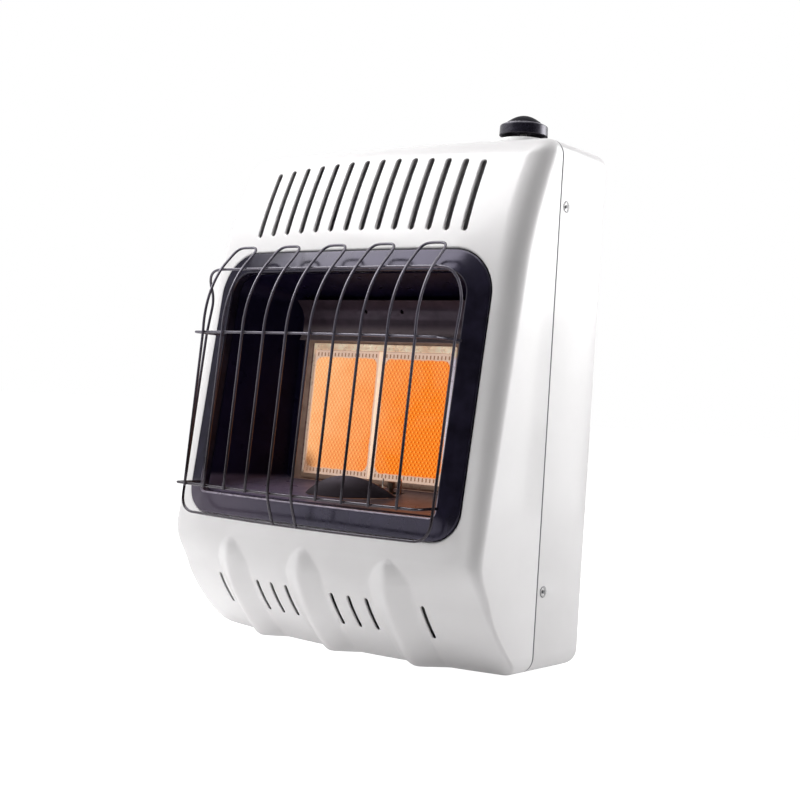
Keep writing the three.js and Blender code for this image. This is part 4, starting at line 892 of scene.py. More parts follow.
def burner_steel(name):
    """The burner's frame, glowing faintly with its own colour as painted light: a stained top strip, a
    left half painted warm and a right half painted lilac silver as painted reflections, painted shade
    along the outer left, and brown at the foot.
    """
    look = Look(name, (0.66, 0.62, 0.55), 0.3, 0.3)
    patch = look.ramp(look.noise(20), (0.35, (0.78, 0.52, 0.34)), (0.65, (0.98, 0.80, 0.60)))
    # The left half is painted warm and the right half lilac silver: painted reflections.
    side = look.mix(look.step(look.x, -0.02, 0.02), (0.60, 0.45, 0.35), (0.72, 0.66, 0.74))
    color = look.mix(look.step(look.z, 0.340, 0.349), side, patch)
    # A dark brown band along the outer left: painted shade.
    color = look.mix(look.step(look.x, -0.1048, -0.1064), color, (0.13, 0.075, 0.065))
    color = look.mix(look.step(look.z, 0.201, 0.197), color, (0.20, 0.125, 0.09))
    # The frame glows with its own colour: painted light.
    look.set(Emission_Color=color, Emission_Strength=0.3)
    return look.finish(color, (6, 0.22, 0.4), (7, 2, 0.08, 0.3))


def metal(name, color, roughness, metallic=1.0, grain=2.0, depth=0.03):
    look = Look(name, color, roughness, metallic)
    return look.finish(look.varied(grain * 5, 0.12), (grain * 3, roughness * 0.8, roughness * 1.25),
                       (grain, 3, depth, 0.3))


def aluminised(name):
    look = Look(name, (0.50, 0.51, 0.52), 0.42, 0.9)
    cells = look.node("ShaderNodeTexVoronoi", {"Vector": look.place, "Scale": 130})
    grey = look.node("ShaderNodeSeparateColor", [cells.outputs["Color"]]).outputs["Red"]
    shade = look.ramp(grey, (0.0, (0.42, 0.43, 0.44)), (1.0, (0.58, 0.59, 0.60)))
    return look.finish(shade, (8, 0.34, 0.5), (2, 2, 0.03, 0.2))


def plastic(name, color, roughness):
    look = Look(name, color, roughness)
    return look.finish(look.varied(10, 0.08), (4, roughness * 0.85, roughness * 1.2),
                       (0.8, 2, 0.02, 0.3))


def knob_plastic(name):
    look = Look(name, (0.010, 0.009, 0.016), 0.2, Specular_IOR_Level=0.6,
                Specular_Tint=(0.88, 0.84, 1.0))
    return look.finish(look.varied(10, 0.1), (4, 0.24, 0.32), (0.8, 2, 0.015, 0.3))


def matt_plastic(name, color, specular):
    look = Look(name, color, 0.4, Specular_IOR_Level=specular)
    return look.finish(look.varied(10, 0.15), (5, 0.32, 0.5), (0.8, 2, 0.015, 0.3))


def warm_ceramic(name, color, glow, strength):
    # The glow is painted light, which brightens the plaques' tooth slots and the divider strip.
    look = Look(name, color, 0.9, Emission_Color=glow, Emission_Strength=strength)
    return look.finish(look.varied(6, 0.1), None, (1.5, 3, 0.08, 0.4))


def glowing(name, pale, deep, border, strength):
    """A plaque's lit field with rounded corners, paler on the left, and its unlit border, which glows
    as well as painted light.
    """
    look = Look(name, (0.30, 0.16, 0.08), 0.9)
    corner, soft = 0.010, 0.0012
    across = look.away(look.math("ABSOLUTE", look.x), 0.0535)
    up = look.away(look.z, 0.2727)
    dx = look.math("MAXIMUM", look.math("SUBTRACT", across, 0.0478 - corner), 0)
    dz = look.math("MAXIMUM", look.math("SUBTRACT", up, 0.0674 - corner), 0)
    off_field = look.math("ADD", look.reach(dx, dz), look.drift(9, 0.003))
    share = look.step(off_field, corner + soft, corner - soft)

    rightward = look.step(look.x, -0.103, 0.050, kind="LINEAR")
    lower = look.math("MULTIPLY", look.math("SUBTRACT", 0.2725, look.z), 2.2)
    tone = look.math("ADD", look.math("ADD", rightward, look.drift(26, 0.55)), lower)
    middle = tuple((a + b) / 2 for a, b in zip(pale, deep))
    lit = look.ramp(tone, (0.0, pale), (0.45, middle), (1.0, deep))

    off_corner = look.reach(look.math("ADD", look.x, 0.103), look.math("SUBTRACT", look.z, 0.207))
    wavy = look.math("ADD", off_corner, look.math("MULTIPLY", look.noise(12), 0.008))
    stain = look.step(wavy, 0.030, 0.004)
    light = look.mix(stain, look.mix(share, border, lit), (0.22, 0.10, 0.045))
    # Outside the lit field the border glows too: painted light.
    look.set(Emission_Color=light, Emission_Strength=strength)
    base = look.mix(share, tuple(0.9 * c for c in border), tuple(0.25 * c for c in deep))
    return look.finish(base, None, (1.2, 2, 0.05, 0.4))


LOOKS = {name: make(name, *values) for name, make, *values in (
    ("case_paint", case_paint),
    ("collar_plastic", plastic, (0.96, 0.96, 0.96), 0.28),
    ("black_enamel", black_enamel),
    ("enamel_edge", enamel_edge),
    ("firebox_enamel", firebox_enamel),
    ("dark_shield", dark_shield),
    ("stainless", stainless),
    ("burner_steel", burner_steel),
    ("heated_steel", metal, (0.16, 0.11, 0.085), 0.45, 0.7),
    ("ceramic_glow", glowing, (0.95, 0.50, 0.22), (0.93, 0.22, 0.010), (0.52, 0.37, 0.29), 0.92),
    ("ceramic_hole", glowing, (0.92, 0.40, 0.15), (0.66, 0.11, 0.004), (0.34, 0.21, 0.15), 0.88),
    ("ceramic_nub", glowing, (1.0, 0.56, 0.28), (1.0, 0.40, 0.06), (0.62, 0.45, 0.35), 1.0),
    ("ceramic_tooth", warm_ceramic, (0.30, 0.19, 0.13), (0.26, 0.145, 0.09), 0.8),
    ("ceramic_strip", warm_ceramic, (0.74, 0.58, 0.47), (0.95, 0.66, 0.46), 0.72),
    ("aluminised_steel", aluminised),
    ("brass_parts", metal, (0.72, 0.53, 0.24), 0.28),
    ("copper_parts", metal, (0.72, 0.40, 0.26), 0.3),
    ("white_ceramic", plastic, (0.82, 0.79, 0.72), 0.25),
    ("knob_plastic", knob_plastic),
    ("knob_inside", plastic, (0.030, 0.027, 0.036), 0.8),
    ("knob_dome", matt_plastic, (0.004, 0.003, 0.007), 0.06),
    # knob_edge paints the bead round the knob's dome pale grey: a painted highlight.
    ("knob_edge", matt_plastic, (0.30, 0.28, 0.34), 0.5),
    ("black_plastic", plastic, (0.02, 0.02, 0.02), 0.45),
    ("cast_body", metal, (0.46, 0.47, 0.48), 0.5, 0.8, 1.5, 0.15),
    ("aluminium_tube", metal, (0.68, 0.69, 0.70), 0.32),
    ("red_silicone", plastic, (0.42, 0.05, 0.035), 0.5),
    ("guard_wire", guard_wire),
    ("screw_steel", metal, (0.88, 0.87, 0.88), 0.3, 0.5),
    # The next look colours the cross's floor and the washer's rim dark: painted shade.
    ("screw_recess", metal, (0.17, 0.17, 0.18), 0.5, 0.5),
)}


# Casing

def cover_rows():
    rows = [EDGE_FOOT * (1 - c) for c, s in quarter(6)]
    rows += evenly(EDGE_FOOT, CHIN_START, 56)[1:]
    rows += evenly(CHIN_START, CROWN_START, 36)[1:]
    rows += evenly(CROWN_START, CASE_HEIGHT - EDGE_CROWN, 24)[1:]
    return rows + [CASE_HEIGHT - EDGE_CROWN * (1 - s) for c, s in quarter(12)[1:]]


def off_outline(x, z):
    """The direction in x and z out of the casing, for a point on its outline."""
    middle_x = math.copysign(min(abs(x), HALF_CASE - CASE_CORNER), x)
    middle_z = min(max(z, CASE_CORNER), CASE_HEIGHT - CASE_CORNER)
    return Vector((x - middle_x, 0, z - middle_z)).normalized()


def outward(x, z, step=0.05):
    """The cover's normal."""
    if inside_outline(x, z) < step:
        return off_outline(x, z)
    slope_x = (cover_depth(x + step, z) - cover_depth(x - step, z)) / (2 * step)
    slope_z = (cover_depth(x, z + step) - cover_depth(x, z - step)) / (2 * step)
    return Vector((-slope_x, -1, -slope_z)).normalized()


def cover_skin(inset):
    """Rows of points over the cover, moved inward."""
    skin = []
    for z in cover_rows():
        width = half_width_at(z)
        radius = edge_radius(z)
        edge = [width - radius * (1 - c) for c, s in quarter(12)]
        xs = [-x for x in edge] + side_to_side(width - radius, 150)[1:-1] + edge[::-1]
        skin.append([Vector((x, -cover_depth(x, z), z)) - outward(x, z) * inset for x in xs])
    return skin


def border(skin):
    """The points round the edge of a skin."""
    sides = skin[1:-1]
    return skin[0] + [row[-1] for row in sides] + skin[-1][::-1] + [row[0] for row in sides[::-1]]


def build_cover():
    outer, inner = cover_skin(0), cover_skin(SHEET)
    columns = len(outer[0])
    faces = []
    for i in range(len(outer) - 1):
        for k in range(i * columns, (i + 1) * columns - 1):
            faces.append((k, k + 1, k + 1 + columns, k + columns))
    shape = Shape().add([p for row in outer for p in row], faces)
    shape.add([p for row in inner for p in row], [face[::-1] for face in faces])
    seam = -SEAM_DEPTH - SEAM_GAP
    outer_ring, inner_ring = border(outer), border(inner)
    rings = [outer_ring]
    for c, s in quarter(4):
        y = seam - SEAM_ROLL * (1 - s)
        rings.append([Vector((p.x, y, p.z)) - off_outline(p.x, p.z) * (SEAM_ROLL * (1 - c))
                      for p in outer_ring])
    rings += [[Vector((p.x, seam, p.z)) for p in inner_ring], inner_ring]
    cover = shape.loft(rings, caps=False).object("front_cover_skin")
    holes, lips = Shape(), Shape()

    def opening(outline_at, lip, collar):
        def ring(inset, drop):
            return [(x, -cover_depth(x, z) + drop, z) for x, z in outline_at(inset)]

        holes.prism(outline_at(-lip), CUTTER_START, -SEAM_DEPTH - SHEET - CUTTER_PAST_SEAM)
        rings = [ring(-lip * (1 - s), lip * (1 - c)) for c, s in quarter(6)]
        rings += [ring(0, collar), ring(-SHEET, collar)]
        rings += [ring(-SHEET, lip + SHEET / 2), ring(-lip, SHEET * 0.6)]
        lips.loft(rings, closed=True)

    def slot(x, low, high, width, lip, collar):
        opening(lambda inset: slot_outline(x, low + inset, high - inset, width - 2 * inset),
                lip, collar)

    opening(lambda inset: bezel_outline(inset - SEAM_GAP), OPENING_LIP, OPENING_COLLAR)
    half = (UPPER_SLOTS - 1) / 2
    for i in range(UPPER_SLOTS):
        arch = ((i - half) / half) ** 2
        slot((i - half) * UPPER_PITCH, UPPER_FOOT - UPPER_FOOT_ARCH * arch,
             UPPER_TOP - UPPER_TOP_ARCH * arch, UPPER_WIDTH, UPPER_LIP, UPPER_COLLAR)
    places = [-LOWER_OUTER, LOWER_OUTER]
    places += [side * LOWER_GROUP + step * LOWER_PITCH for side in (-1, 1) for step in (-1, 0, 1)]
    for x in places:
        slot(x, LOWER_FOOT, LOWER_TOP, LOWER_WIDTH, LOWER_LIP, LOWER_COLLAR)
    cut_away(cover, holes)
    join(cover, lips)
    piece(cover, "case_paint", "front_cover", smooth=32)


def build_rear_case():
    def ring(inset, y):
        return [(x, y, z) for x, z in case_outline(inset)]

    def pan(inset, rear, edge, front):
        rings = [ring(inset + edge * (1 - s), rear - edge * (1 - c)) for c, s in quarter(12)]
        return rings + [ring(inset, front)]

    outer = pan(0, 0, REAR_EDGE, -SEAM_DEPTH + SEAM_ROLL)
    outer += [ring(SEAM_ROLL * (1 - c), -SEAM_DEPTH + SEAM_ROLL * (1 - s))
              for c, s in quarter(4)[1:]]
    inner = pan(SHEET, -SHEET, REAR_EDGE - SHEET, -SEAM_DEPTH)
    case = Shape().loft(outer + inner[::-1]).object("rear_case_pan")

    back, floor, roof = (-8, 5), (-5, 6), (580, 596)
    holes, slots = Shape(), Shape()
    for side in (-1, 1):
        x = side * KEYHOLE_X
        holes.prism(circle(x, KEYHOLE_HEIGHT, KEYHOLE_RADIUS, 32), *back)
        slots.prism(slot_outline(x, KEYHOLE_SLOT_FOOT, KEYHOLE_SLOT_TOP, KEYHOLE_SLOT_WIDTH, 2),
                    *back)
    for i in range(AIR_SLOTS):
        y = -SEAM_DEPTH + AIR_OFF_SEAM
        outline = slot_outline((i - AIR_SLOTS // 2) * AIR_PITCH, y, y + AIR_LENGTH, AIR_WIDTH, 2)
        holes.prism(outline, *floor, axis=2)
    holes.prism(circle(GAS_HOLE_X, GAS_HOLE_Y, GAS_HOLE_RADIUS, 40), *floor, axis=2)
    holes.prism(circle(KNOB_X, KNOB_Y, STEM_HOLE_RADIUS, 40), *roof, axis=2)
    for side in (-1, 1):
        for z in (SCREW_HIGH, SCREW_LOW):
            reach = (side * x for x in SCREW_BORE_REACH)
            slots.prism(circle(-SCREW_DEPTH, z, SCREW_BORE, 20), *reach, axis=0)
    cut_away(case, holes)
    cut_away(case, slots)
    piece(case, "case_paint", "rear_case", smooth=32)


# Bezel and firebox

def build_bezel():
    profile = rounded_profile(BEZEL_SECTION, BEZEL_ROUNDING)
    rings = [[(x, -face_depth(x, z) - rise, z) for x, z in bezel_outline(inset)]
             for inset, rise in profile]
    shape = Shape().loft(rings, closed=True)
    count = len(rings[0])
    for i, (inset, rise) in enumerate(profile):
        if inset > BEZEL_EDGE_INSET and rise > BEZEL_EDGE_RISE:
            shape.slots[i * count:(i + 1) * count] = [1] * count
    piece(shape.object("bezel_ring"), "black_enamel", "bezel_frame",
          looks=("black_enamel", "enamel_edge"), smooth=50)


def back_wall_y(z):
    return (-BURNER_DEPTH - (BURNER_HEIGHT - z) * math.tan(BURNER_LEAN)
            + WALL_FRONT / math.cos(BURNER_LEAN))


def firebox_ring(inset, share, back_shift):
    back = rounded_frame(BACK_HALF_WIDTH, BACK_LOW, BACK_HIGH, BACK_CORNER, BACK_CORNER,
                         inset, 12, 24, 18)
    mouth = bezel_outline(BEZEL_WIDTH + FIREBOX_GAP + inset, 12, 24, 18)
    ring = []
    for (bx, bz), (mx, mz) in zip(back, mouth):
        a = Vector((bx, back_wall_y(bz) + back_shift, bz))
        b = Vector((mx, -face_depth(mx, mz) + FIREBOX_RECESS, mz))
        ring.append(a.lerp(b, share))
    return ring


def build_firebox():
    shares = [0, 0.02, 0.1, 0.25, 0.4, 0.55, 0.7, 0.85, 1]
    outer = [firebox_ring(0, share, THIN_SHEET) for share in shares]
    inner = [firebox_ring(THIN_SHEET, share, 0) for share in shares]
    firebox = Shape().loft(outer + inner[::-1]).object("firebox_funnel")
    cut_away(firebox, Shape().box(*BURNER_CUTTER).leaning())
    cut_away(firebox, Shape().box(*PILOT_CUTTER))
    piece(firebox, "firebox_enamel", "firebox", smooth=34)


def build_deflector():
    gap = DEFLECTOR_GAP / math.cos(BURNER_LEAN)
    folds = [(0, back_wall_y(wall) - gap - forward, z) for forward, wall, z in DEFLECTOR_FOLDS]
    path = rounded_path(folds, DEFLECTOR_BEND, 5, slight=5)
    front = []
    for p, along in zip(path, tangents(path)):
        forward = Vector((0, along.z, -along.y)).normalized()
        front.append((p.y + forward.y, p.z + forward.z))
    section = front + [(p.y, p.z) for p in reversed(path)]
    rings = [[(x, y, z) for y, z in section] for x in side_to_side(DEFLECTOR_HALF_WIDTH, 16)]
    deflector = Shape().loft(rings).object("heat_deflector_sheet")
    holes = Shape()
    for x in (-DEFLECTOR_HOLE_X, DEFLECTOR_HOLE_X):
        holes.prism(circle(x, DEFLECTOR_HOLE_HEIGHT, DEFLECTOR_HOLE_RADIUS, 24), -150, -100)
    cut_away(deflector, holes)
    piece(deflector, "dark_shield", "heat_deflector", smooth=34)


def floor_height(depth):
    """Height of the firebox's floor."""
    mouth_low = BEZEL_LOW + BEZEL_WIDTH + FIREBOX_GAP
    mouth_depth = face_depth(0, mouth_low) - FIREBOX_RECESS
    back_depth = -back_wall_y(BACK_LOW)
    share = (depth - back_depth) / (mouth_depth - back_depth)
    return BACK_LOW + (mouth_low - BACK_LOW) * share + THIN_SHEET


def build_pilot_shield():
    rings = []
    for u in side_to_side(1, 48):
        arch = 1 - u * u
        depth = SHIELD_DEPTH - u * SHIELD_SKEW + SHIELD_BOW * arch
        foot = floor_height(depth - SHIELD_THICKNESS) + SHIELD_GAP
        front = []
        for t in evenly(0, 1, 6):
            bulge = SHIELD_BULGE * arch * math.sin(math.pi * t)
            front.append((SHIELD_X + u * SHIELD_HALF_WIDTH, -depth + SHIELD_LEAN * arch * t - bulge,
                          foot + (SHIELD_END_RISE + SHIELD_RISE * arch) * t))
        rings.append(front + [(x, y + SHIELD_THICKNESS, z) for x, y, z in reversed(front)])
    shield = Shape().loft(rings).object("pilot_shield_sheet")
    piece(shield, "dark_shield", "pilot_shield", smooth=40)


# Burner

def perforated(side):
    """A plaque with rows of flame holes, and a band of longer slots along its top and bottom."""
    x0 = PLAQUE_INNER if side > 0 else -PLAQUE_OUTER
    x1 = PLAQUE_OUTER if side > 0 else -PLAQUE_INNER
    low, high = -PLAQUE_FOOT, PLAQUE_TOP
    left, right = x0 + PLAQUE_MARGIN, x1 - PLAQUE_MARGIN
    shape = Shape()
    y = PLAQUE_RECESS

    def rectangle(x0, x1, z0, z1):
        return [(x0, y, z0), (x1, y, z0), (x1, y, z1), (x0, y, z1)]

    def flat(*sides):
        shape.add(rectangle(*sides), [(0, 1, 2, 3)])

    def hollow(cell, rim, slot):
        """The face between a cell and a rim, then a hole's wall and floor."""
        n = len(rim)
        quads = [(k, (k + 1) % n, n + (k + 1) % n, n + k) for k in range(n)]
        floor = [(px, y + HOLE_DEPTH, pz) for px, _, pz in rim]
        shape.add(cell + rim, quads)
        shape.add(rim + floor, quads + [tuple(range(n, 2 * n))], slot)

    field_low, field_high = low + TOOTH_BAND, high - TOOTH_BAND
    columns = round((right - left) / HOLE_PITCH)
    step = (right - left) / columns
    rows = round((field_high - field_low) / HOLE_ROW)
    rise = (field_high - field_low) / rows
    for i in range(rows):
        z = field_low + rise * (i + 0.5)
        offset = 0.5 if i % 2 else 0
        for j in range(columns - 1 if offset else columns):
            x = left + step * (j + 0.5 + offset)
            cell = [(x + step / 2 * a, y, z + rise / 2 * b)
                    for a, b in ((1, -1), (1, 1), (0, 1), (-1, 1), (-1, -1), (0, -1))]
            rim = [(x + HOLE_RADIUS * math.cos(math.pi * a), y, z + HOLE_RADIUS * math.sin(math.pi * a))
                   for a in (-0.25, 0.25, 0.5, 0.75, 1.25, 1.5)]
            hollow(cell, rim, 1)
            nub_x = x - step * 0.5 + NUB_RADIUS
            nub = [(nub_x + NUB_RADIUS * a, y - 0.01, z + NUB_RADIUS * b)
                   for a, b in ((-1, -0.5), (0.3, -1), (1, 0.5), (-0.3, 1))]
            nub.append((nub_x, y - NUB_HEIGHT, z))
            shape.add(nub, [(0, 1, 4), (1, 2, 4), (2, 3, 4), (3, 0, 4)], slot=2)
        if offset:
            flat(left, left + step / 2, z - rise / 2, z + rise / 2)
            flat(right - step / 2, right, z - rise / 2, z + rise / 2)

    teeth = round((right - left) / TOOTH_PITCH)
    pitch = (right - left) / teeth
    for z0, z1 in ((low + PLAQUE_MARGIN, field_low), (field_high, high - PLAQUE_MARGIN)):
        for j in range(teeth):
            x = left + pitch * (j + 0.5)
            a, b = pitch / 2, TOOTH_WIDTH / 2
            hollow(rectangle(x - a, x + a, z0, z1), rectangle(x - b, x + b, z0 + 1, z1 - 1), 3)
    flat(x0, x1, low, low + PLAQUE_MARGIN)
    flat(x0, x1, high - PLAQUE_MARGIN, high)
    flat(x0, left, low + PLAQUE_MARGIN, high - PLAQUE_MARGIN)
    flat(right, x1, low + PLAQUE_MARGIN, high - PLAQUE_MARGIN)
    edge = rectangle(x0, x1, low, high)
    shape.add(edge + [(x, PLAQUE_BACK, z) for x, _, z in edge],
              [(0, 1, 5, 4), (1, 2, 6, 5), (2, 3, 7, 6), (3, 0, 4, 7), (4, 5, 6, 7)])
    return shape.leaning()


def build_burner():
    for name, side in (("plaque_left", -1), ("plaque_right", 1)):
        piece(perforated(side).object(name + "_tile"), "ceramic_glow", name, smooth=20,
              looks=("ceramic_glow", "ceramic_hole", "ceramic_nub", "ceramic_tooth"))

    strip = Shape().box(-DIVIDER_HALF_WIDTH, DIVIDER_HALF_WIDTH, DIVIDER_FRONT, PLAQUE_BACK,
                        -PLAQUE_FOOT, PLAQUE_TOP)
    divider = strip.leaning().object("divider_strip")
    bevel(divider, DIVIDER_BEVEL, 3)
    piece(divider, "ceramic_strip", "plaque_divider")

    outline = rounded_frame(FRAME_HALF_WIDTH, -FRAME_FOOT, FRAME_TOP, FRAME_CORNER, FRAME_CORNER,
                            0, 5, 1, 1)
    plate = Shape().prism(outline, 0, FRAME_THICKNESS).leaning().object("burner_frame_plate")
    window = rounded_frame(WINDOW_HALF_WIDTH, WINDOW_FOOT, FRAME_TOP - FRAME_TOP_STRIP,
                           WINDOW_CORNER, WINDOW_CORNER, 0, 4, 1, 1)
    cut_away(plate, Shape().prism(window, -5, 5).leaning())
    marks = Shape()
    for x in MARK_XS:
        marks.prism(circle(x, MARK_HEIGHT, MARK_RADIUS, 16), -2, MARK_DEPTH)
    cut_away(plate, marks.leaning())
    bevel(plate, FRAME_BEVEL, 2)
    piece(plate, "stainless", "burner_frame", looks=("burner_steel",))


# Wire guard

def guard_point(x, depth, z):
    bow = mixed(GUARD_BOW, GUARD_TOP_BOW, (z - MID_BAR) / GUARD_BOW_FADE)
    return Vector((x, bow * (x / GUARD_HALF_WIDTH) ** 2 - depth, z))


def foot_point(x):
    return Vector((x, PERIMETER_FOOT_BOW * (x / GUARD_HALF_WIDTH) ** 2 - PERIMETER_FOOT_DEPTH,
                   PERIMETER_FOOT_HEIGHT))


def arc_point(angle, radius=ARC_RADIUS):
    """Depth and height on the arc that the hairpins follow."""
    return ARC_DEPTH + radius * math.cos(angle), ARC_HEIGHT + radius * math.sin(angle)


def leg_depth(z):
    depth, height = arc_point(ARC_START)
    return FOOT_DEPTH + (depth - FOOT_DEPTH) * (z - FOOT_HEIGHT) / (height - FOOT_HEIGHT)


def hairpin_leg(x, hooked):
    """One leg from its foot to the top of the arc. A hooked one starts at the perimeter's foot."""
    foot = FOOT_HEIGHT - (2 if hooked else 1) * WIRE
    straight = evenly(foot, arc_point(ARC_START)[1], 8)[:-1]
    points = [guard_point(x, leg_depth(z), z) for z in straight]
    points += [guard_point(x, *arc_point(angle)) for angle in evenly(ARC_START, ARC_END, 16)]
    if hooked:
        hook = foot_point(x)
        hook.y -= BAR_SETBACK
        corner, above = points[:2]
        points[:1] = [hook] + bend(hook.lerp(corner, 0.55), corner, corner.lerp(above, 0.5), 4)
    return points


def hairpin_top(centre):
    depth, height = arc_point(ARC_END)
    points = []
    for angle in evenly(0, math.pi, 36)[1:-1]:
        across, up = -math.cos(angle), math.sin(angle)
        size = (across ** 4 + up ** 4) ** -0.25
        reach = TOP_REACH * up * size
        points.append(guard_point(centre + HAIRPIN_PITCH / 2 * across * size,
                                  depth - reach * math.sin(TOP_LEAN),
                                  height + reach * math.cos(TOP_LEAN)))
    return points


def weld(shape, x, z):
    """A small bead that joins a hairpin's leg to a bar."""
    middle = (guard_point(x, leg_depth(z), z) + guard_point(x, leg_depth(z) - BAR_SETBACK, z)) / 2
    turns = [math.pi * i / 6 - math.pi / 2 for i in range(1, 6)]
    profile = [(WELD_RADIUS * math.cos(turn), middle.y + WELD_HALF_LENGTH * math.sin(turn))
               for turn in turns]
    shape.turned(profile, middle.x, middle.z, 10, axis=1, caps=True)


def build_guard():
    def finish(shape, node):
        piece(shape.object(node + "_wire"), "guard_wire", node, smooth=60)

    for index in range(HAIRPINS):
        centre = (index - HAIRPINS // 2) * 2 * HAIRPIN_PITCH
        left, right = centre - HAIRPIN_PITCH / 2, centre + HAIRPIN_PITCH / 2
        legs = [hairpin_leg(x, index == HAIRPINS // 2) for x in (left, right)]
        shape = wire(legs[0] + hairpin_top(centre) + legs[1][::-1])
        for x in (left, right):
            for z in (MID_BAR, FOOT_HEIGHT):
                weld(shape, x, z)
        finish(shape, f"guard_hairpin_{index + 1}")

    half = (HAIRPINS - 0.5) * HAIRPIN_PITCH + BAR_OVERHANG
    for node, z in (("guard_mid_bar", MID_BAR), ("guard_lower_bar", FOOT_HEIGHT)):
        start, end = (Vector((x, -face_depth(x, z) - BAR_END_GAP, z)) for x in (-half, half))
        bar = [guard_point(x, leg_depth(z) - BAR_SETBACK, z) for x in side_to_side(half, 24)]
        finish(wire(rounded_path([start] + bar + [end], BAR_BEND)), node)

    top_depth, top_height = arc_point(PERIMETER_TOP, ARC_RADIUS - BAR_SETBACK)
    (high_depth, high), _, (low_depth, low) = PERIMETER_FLANK
    lean = (low_depth - high_depth) / (high - low)
    flank = [(top_depth, top_height),
             (PERIMETER_SHOULDER_DEPTH, top_height - PERIMETER_SHOULDER_DROP),
             *PERIMETER_FLANK,
             (low_depth + lean * (low - PERIMETER_FOOT_HEIGHT), PERIMETER_FOOT_HEIGHT)]
    across = side_to_side(GUARD_HALF_WIDTH - PERIMETER_CORNER, 20)
    points = [guard_point(x, top_depth, top_height) for x in across]
    points += [Vector((GUARD_HALF_WIDTH, -depth, z)) for depth, z in flank]
    points += [foot_point(x) for x in reversed(across)]
    points += [Vector((-GUARD_HALF_WIDTH, -depth, z)) for depth, z in reversed(flank)]
    loop = rounded_path(points[10:] + points[:11], PERIMETER_CORNER)
    finish(wire(loop, closed=True), "guard_perimeter")


# Knob, collar and screws

def build_knob():
    side_top = KNOB_FOOT + KNOB_SIDE
    rim = KNOB_RADIUS - KNOB_INSET - KNOB_SHOULDER
    inner = KNOB_RADIUS - KNOB_WALL
    inside = [(HUB_BORE, HUB_ROOF), (HUB_BORE, HUB_FOOT), (HUB_RADIUS, HUB_FOOT),
              (HUB_RADIUS, KNOB_HOLLOW), (inner, KNOB_HOLLOW), (inner, 0.3),
              (inner + 0.3, 0), (KNOB_RADIUS - 0.3, 0), (KNOB_RADIUS, 0.3)]
    inside = [(radius, KNOB_FOOT + height) for radius, height in inside]
    outside = inside[-1:] + [(rim + KNOB_SHOULDER * c, side_top + KNOB_SHOULDER_RISE * s)
                             for c, s in quarter(12)]
    bead = [(rim - inset, side_top + KNOB_SHOULDER_RISE + rise) for inset, rise in KNOB_BEAD]
    foot, base = bead[-1]
    dome = [(foot * share + 0.01, base + (KNOB_TOP - base) * (1 - share ** KNOB_DOME_POWER))
            for share in (1 - k / 20 for k in range(21))]
    knob = Shape()
    for slot, profile in enumerate((outside, inside, dome, bead)):
        knob.turned(profile, KNOB_X, KNOB_Y, LATHE_SIDES, slot=slot)
    piece(knob.object("knob_cap"), "knob_plastic", "control_knob", body="knob", smooth=35,
          looks=("knob_plastic", "knob_inside", "knob_dome", "knob_edge"))

    profile = [(COLLAR_BORE, COLLAR_NECK_FOOT), (COLLAR_NECK, COLLAR_NECK_FOOT),
               (COLLAR_NECK, COLLAR_FOOT), (COLLAR_RADIUS - 0.4, COLLAR_FOOT),
               (COLLAR_RADIUS, COLLAR_FOOT + 0.4), (COLLAR_RADIUS, COLLAR_TOP - 1.4),
               (COLLAR_RADIUS - 0.4, COLLAR_TOP - 0.4), (COLLAR_RADIUS - 1.4, COLLAR_TOP),
               (COLLAR_BORE, COLLAR_TOP)]
    collar = Shape().turned(profile, KNOB_X, KNOB_Y, LATHE_SIDES, closed=True)
    piece(collar.object("knob_collar_ring"), "collar_plastic", "knob_collar", smooth=35)


def build_screw(node, side, z):
    def turned(shape, profile, slot=0):
        profile = [(radius, side * (SCREW_SEAT + height)) for radius, height in profile]
        return shape.turned(profile, -SCREW_DEPTH, z, 32, axis=0, slot=slot)

    obj = turned(Shape(), SCREW_HEAD).object(node + "_head")
    edit(obj.data, lambda work: bmesh.ops.holes_fill(work, edges=work.edges))
    cross = Shape()
    for a, b in CROSS_ARMS:
        cross.box(side * (SCREW_SEAT + CROSS_FLOOR), side * (SCREW_SEAT + CROSS_TOP),
                  -SCREW_DEPTH - a, -SCREW_DEPTH + a, z - b, z + b)
    cut_away(obj, cross)
    shaded = Shape()
    for profile in SCREW_SHADED:
        turned(shaded, profile, 1)
    join(obj, shaded)
    piece(obj, "screw_steel", node, looks=("screw_steel", "screw_recess"), smooth=35)


# Inner pieces keep their solids and get their finish

def finish_inner():
    slots = {row["node"]: row["material_slot"] for row in frame["record"]["subparts"]}
    shown = ("burner_housing", "mixing_tube", "orifice_bracket", "orifice_fitting", "pilot_bracket",
             "pilot_burner", "thermocouple", "igniter_electrode", "rear_heat_shield", "valve_stem",
             "valve_plunger", "gas_valve", "valve_bracket", "piezo_igniter", "regulator",
             "regulator_bracket", "inlet_fitting", "supply_tube", "burner_tube", "pilot_tube",
             "thermocouple_lead", "igniter_lead")
    for name in shown:
        obj = frame["nodes"][name]
        warm_brown = name in ("pilot_burner", "pilot_bracket")
        material = LOOKS["heated_steel" if warm_brown else slots[name]]
        if not obj.material_slots:
            obj.data.materials.append(material)
        for entry in obj.material_slots:
            entry.material = material


# Stage

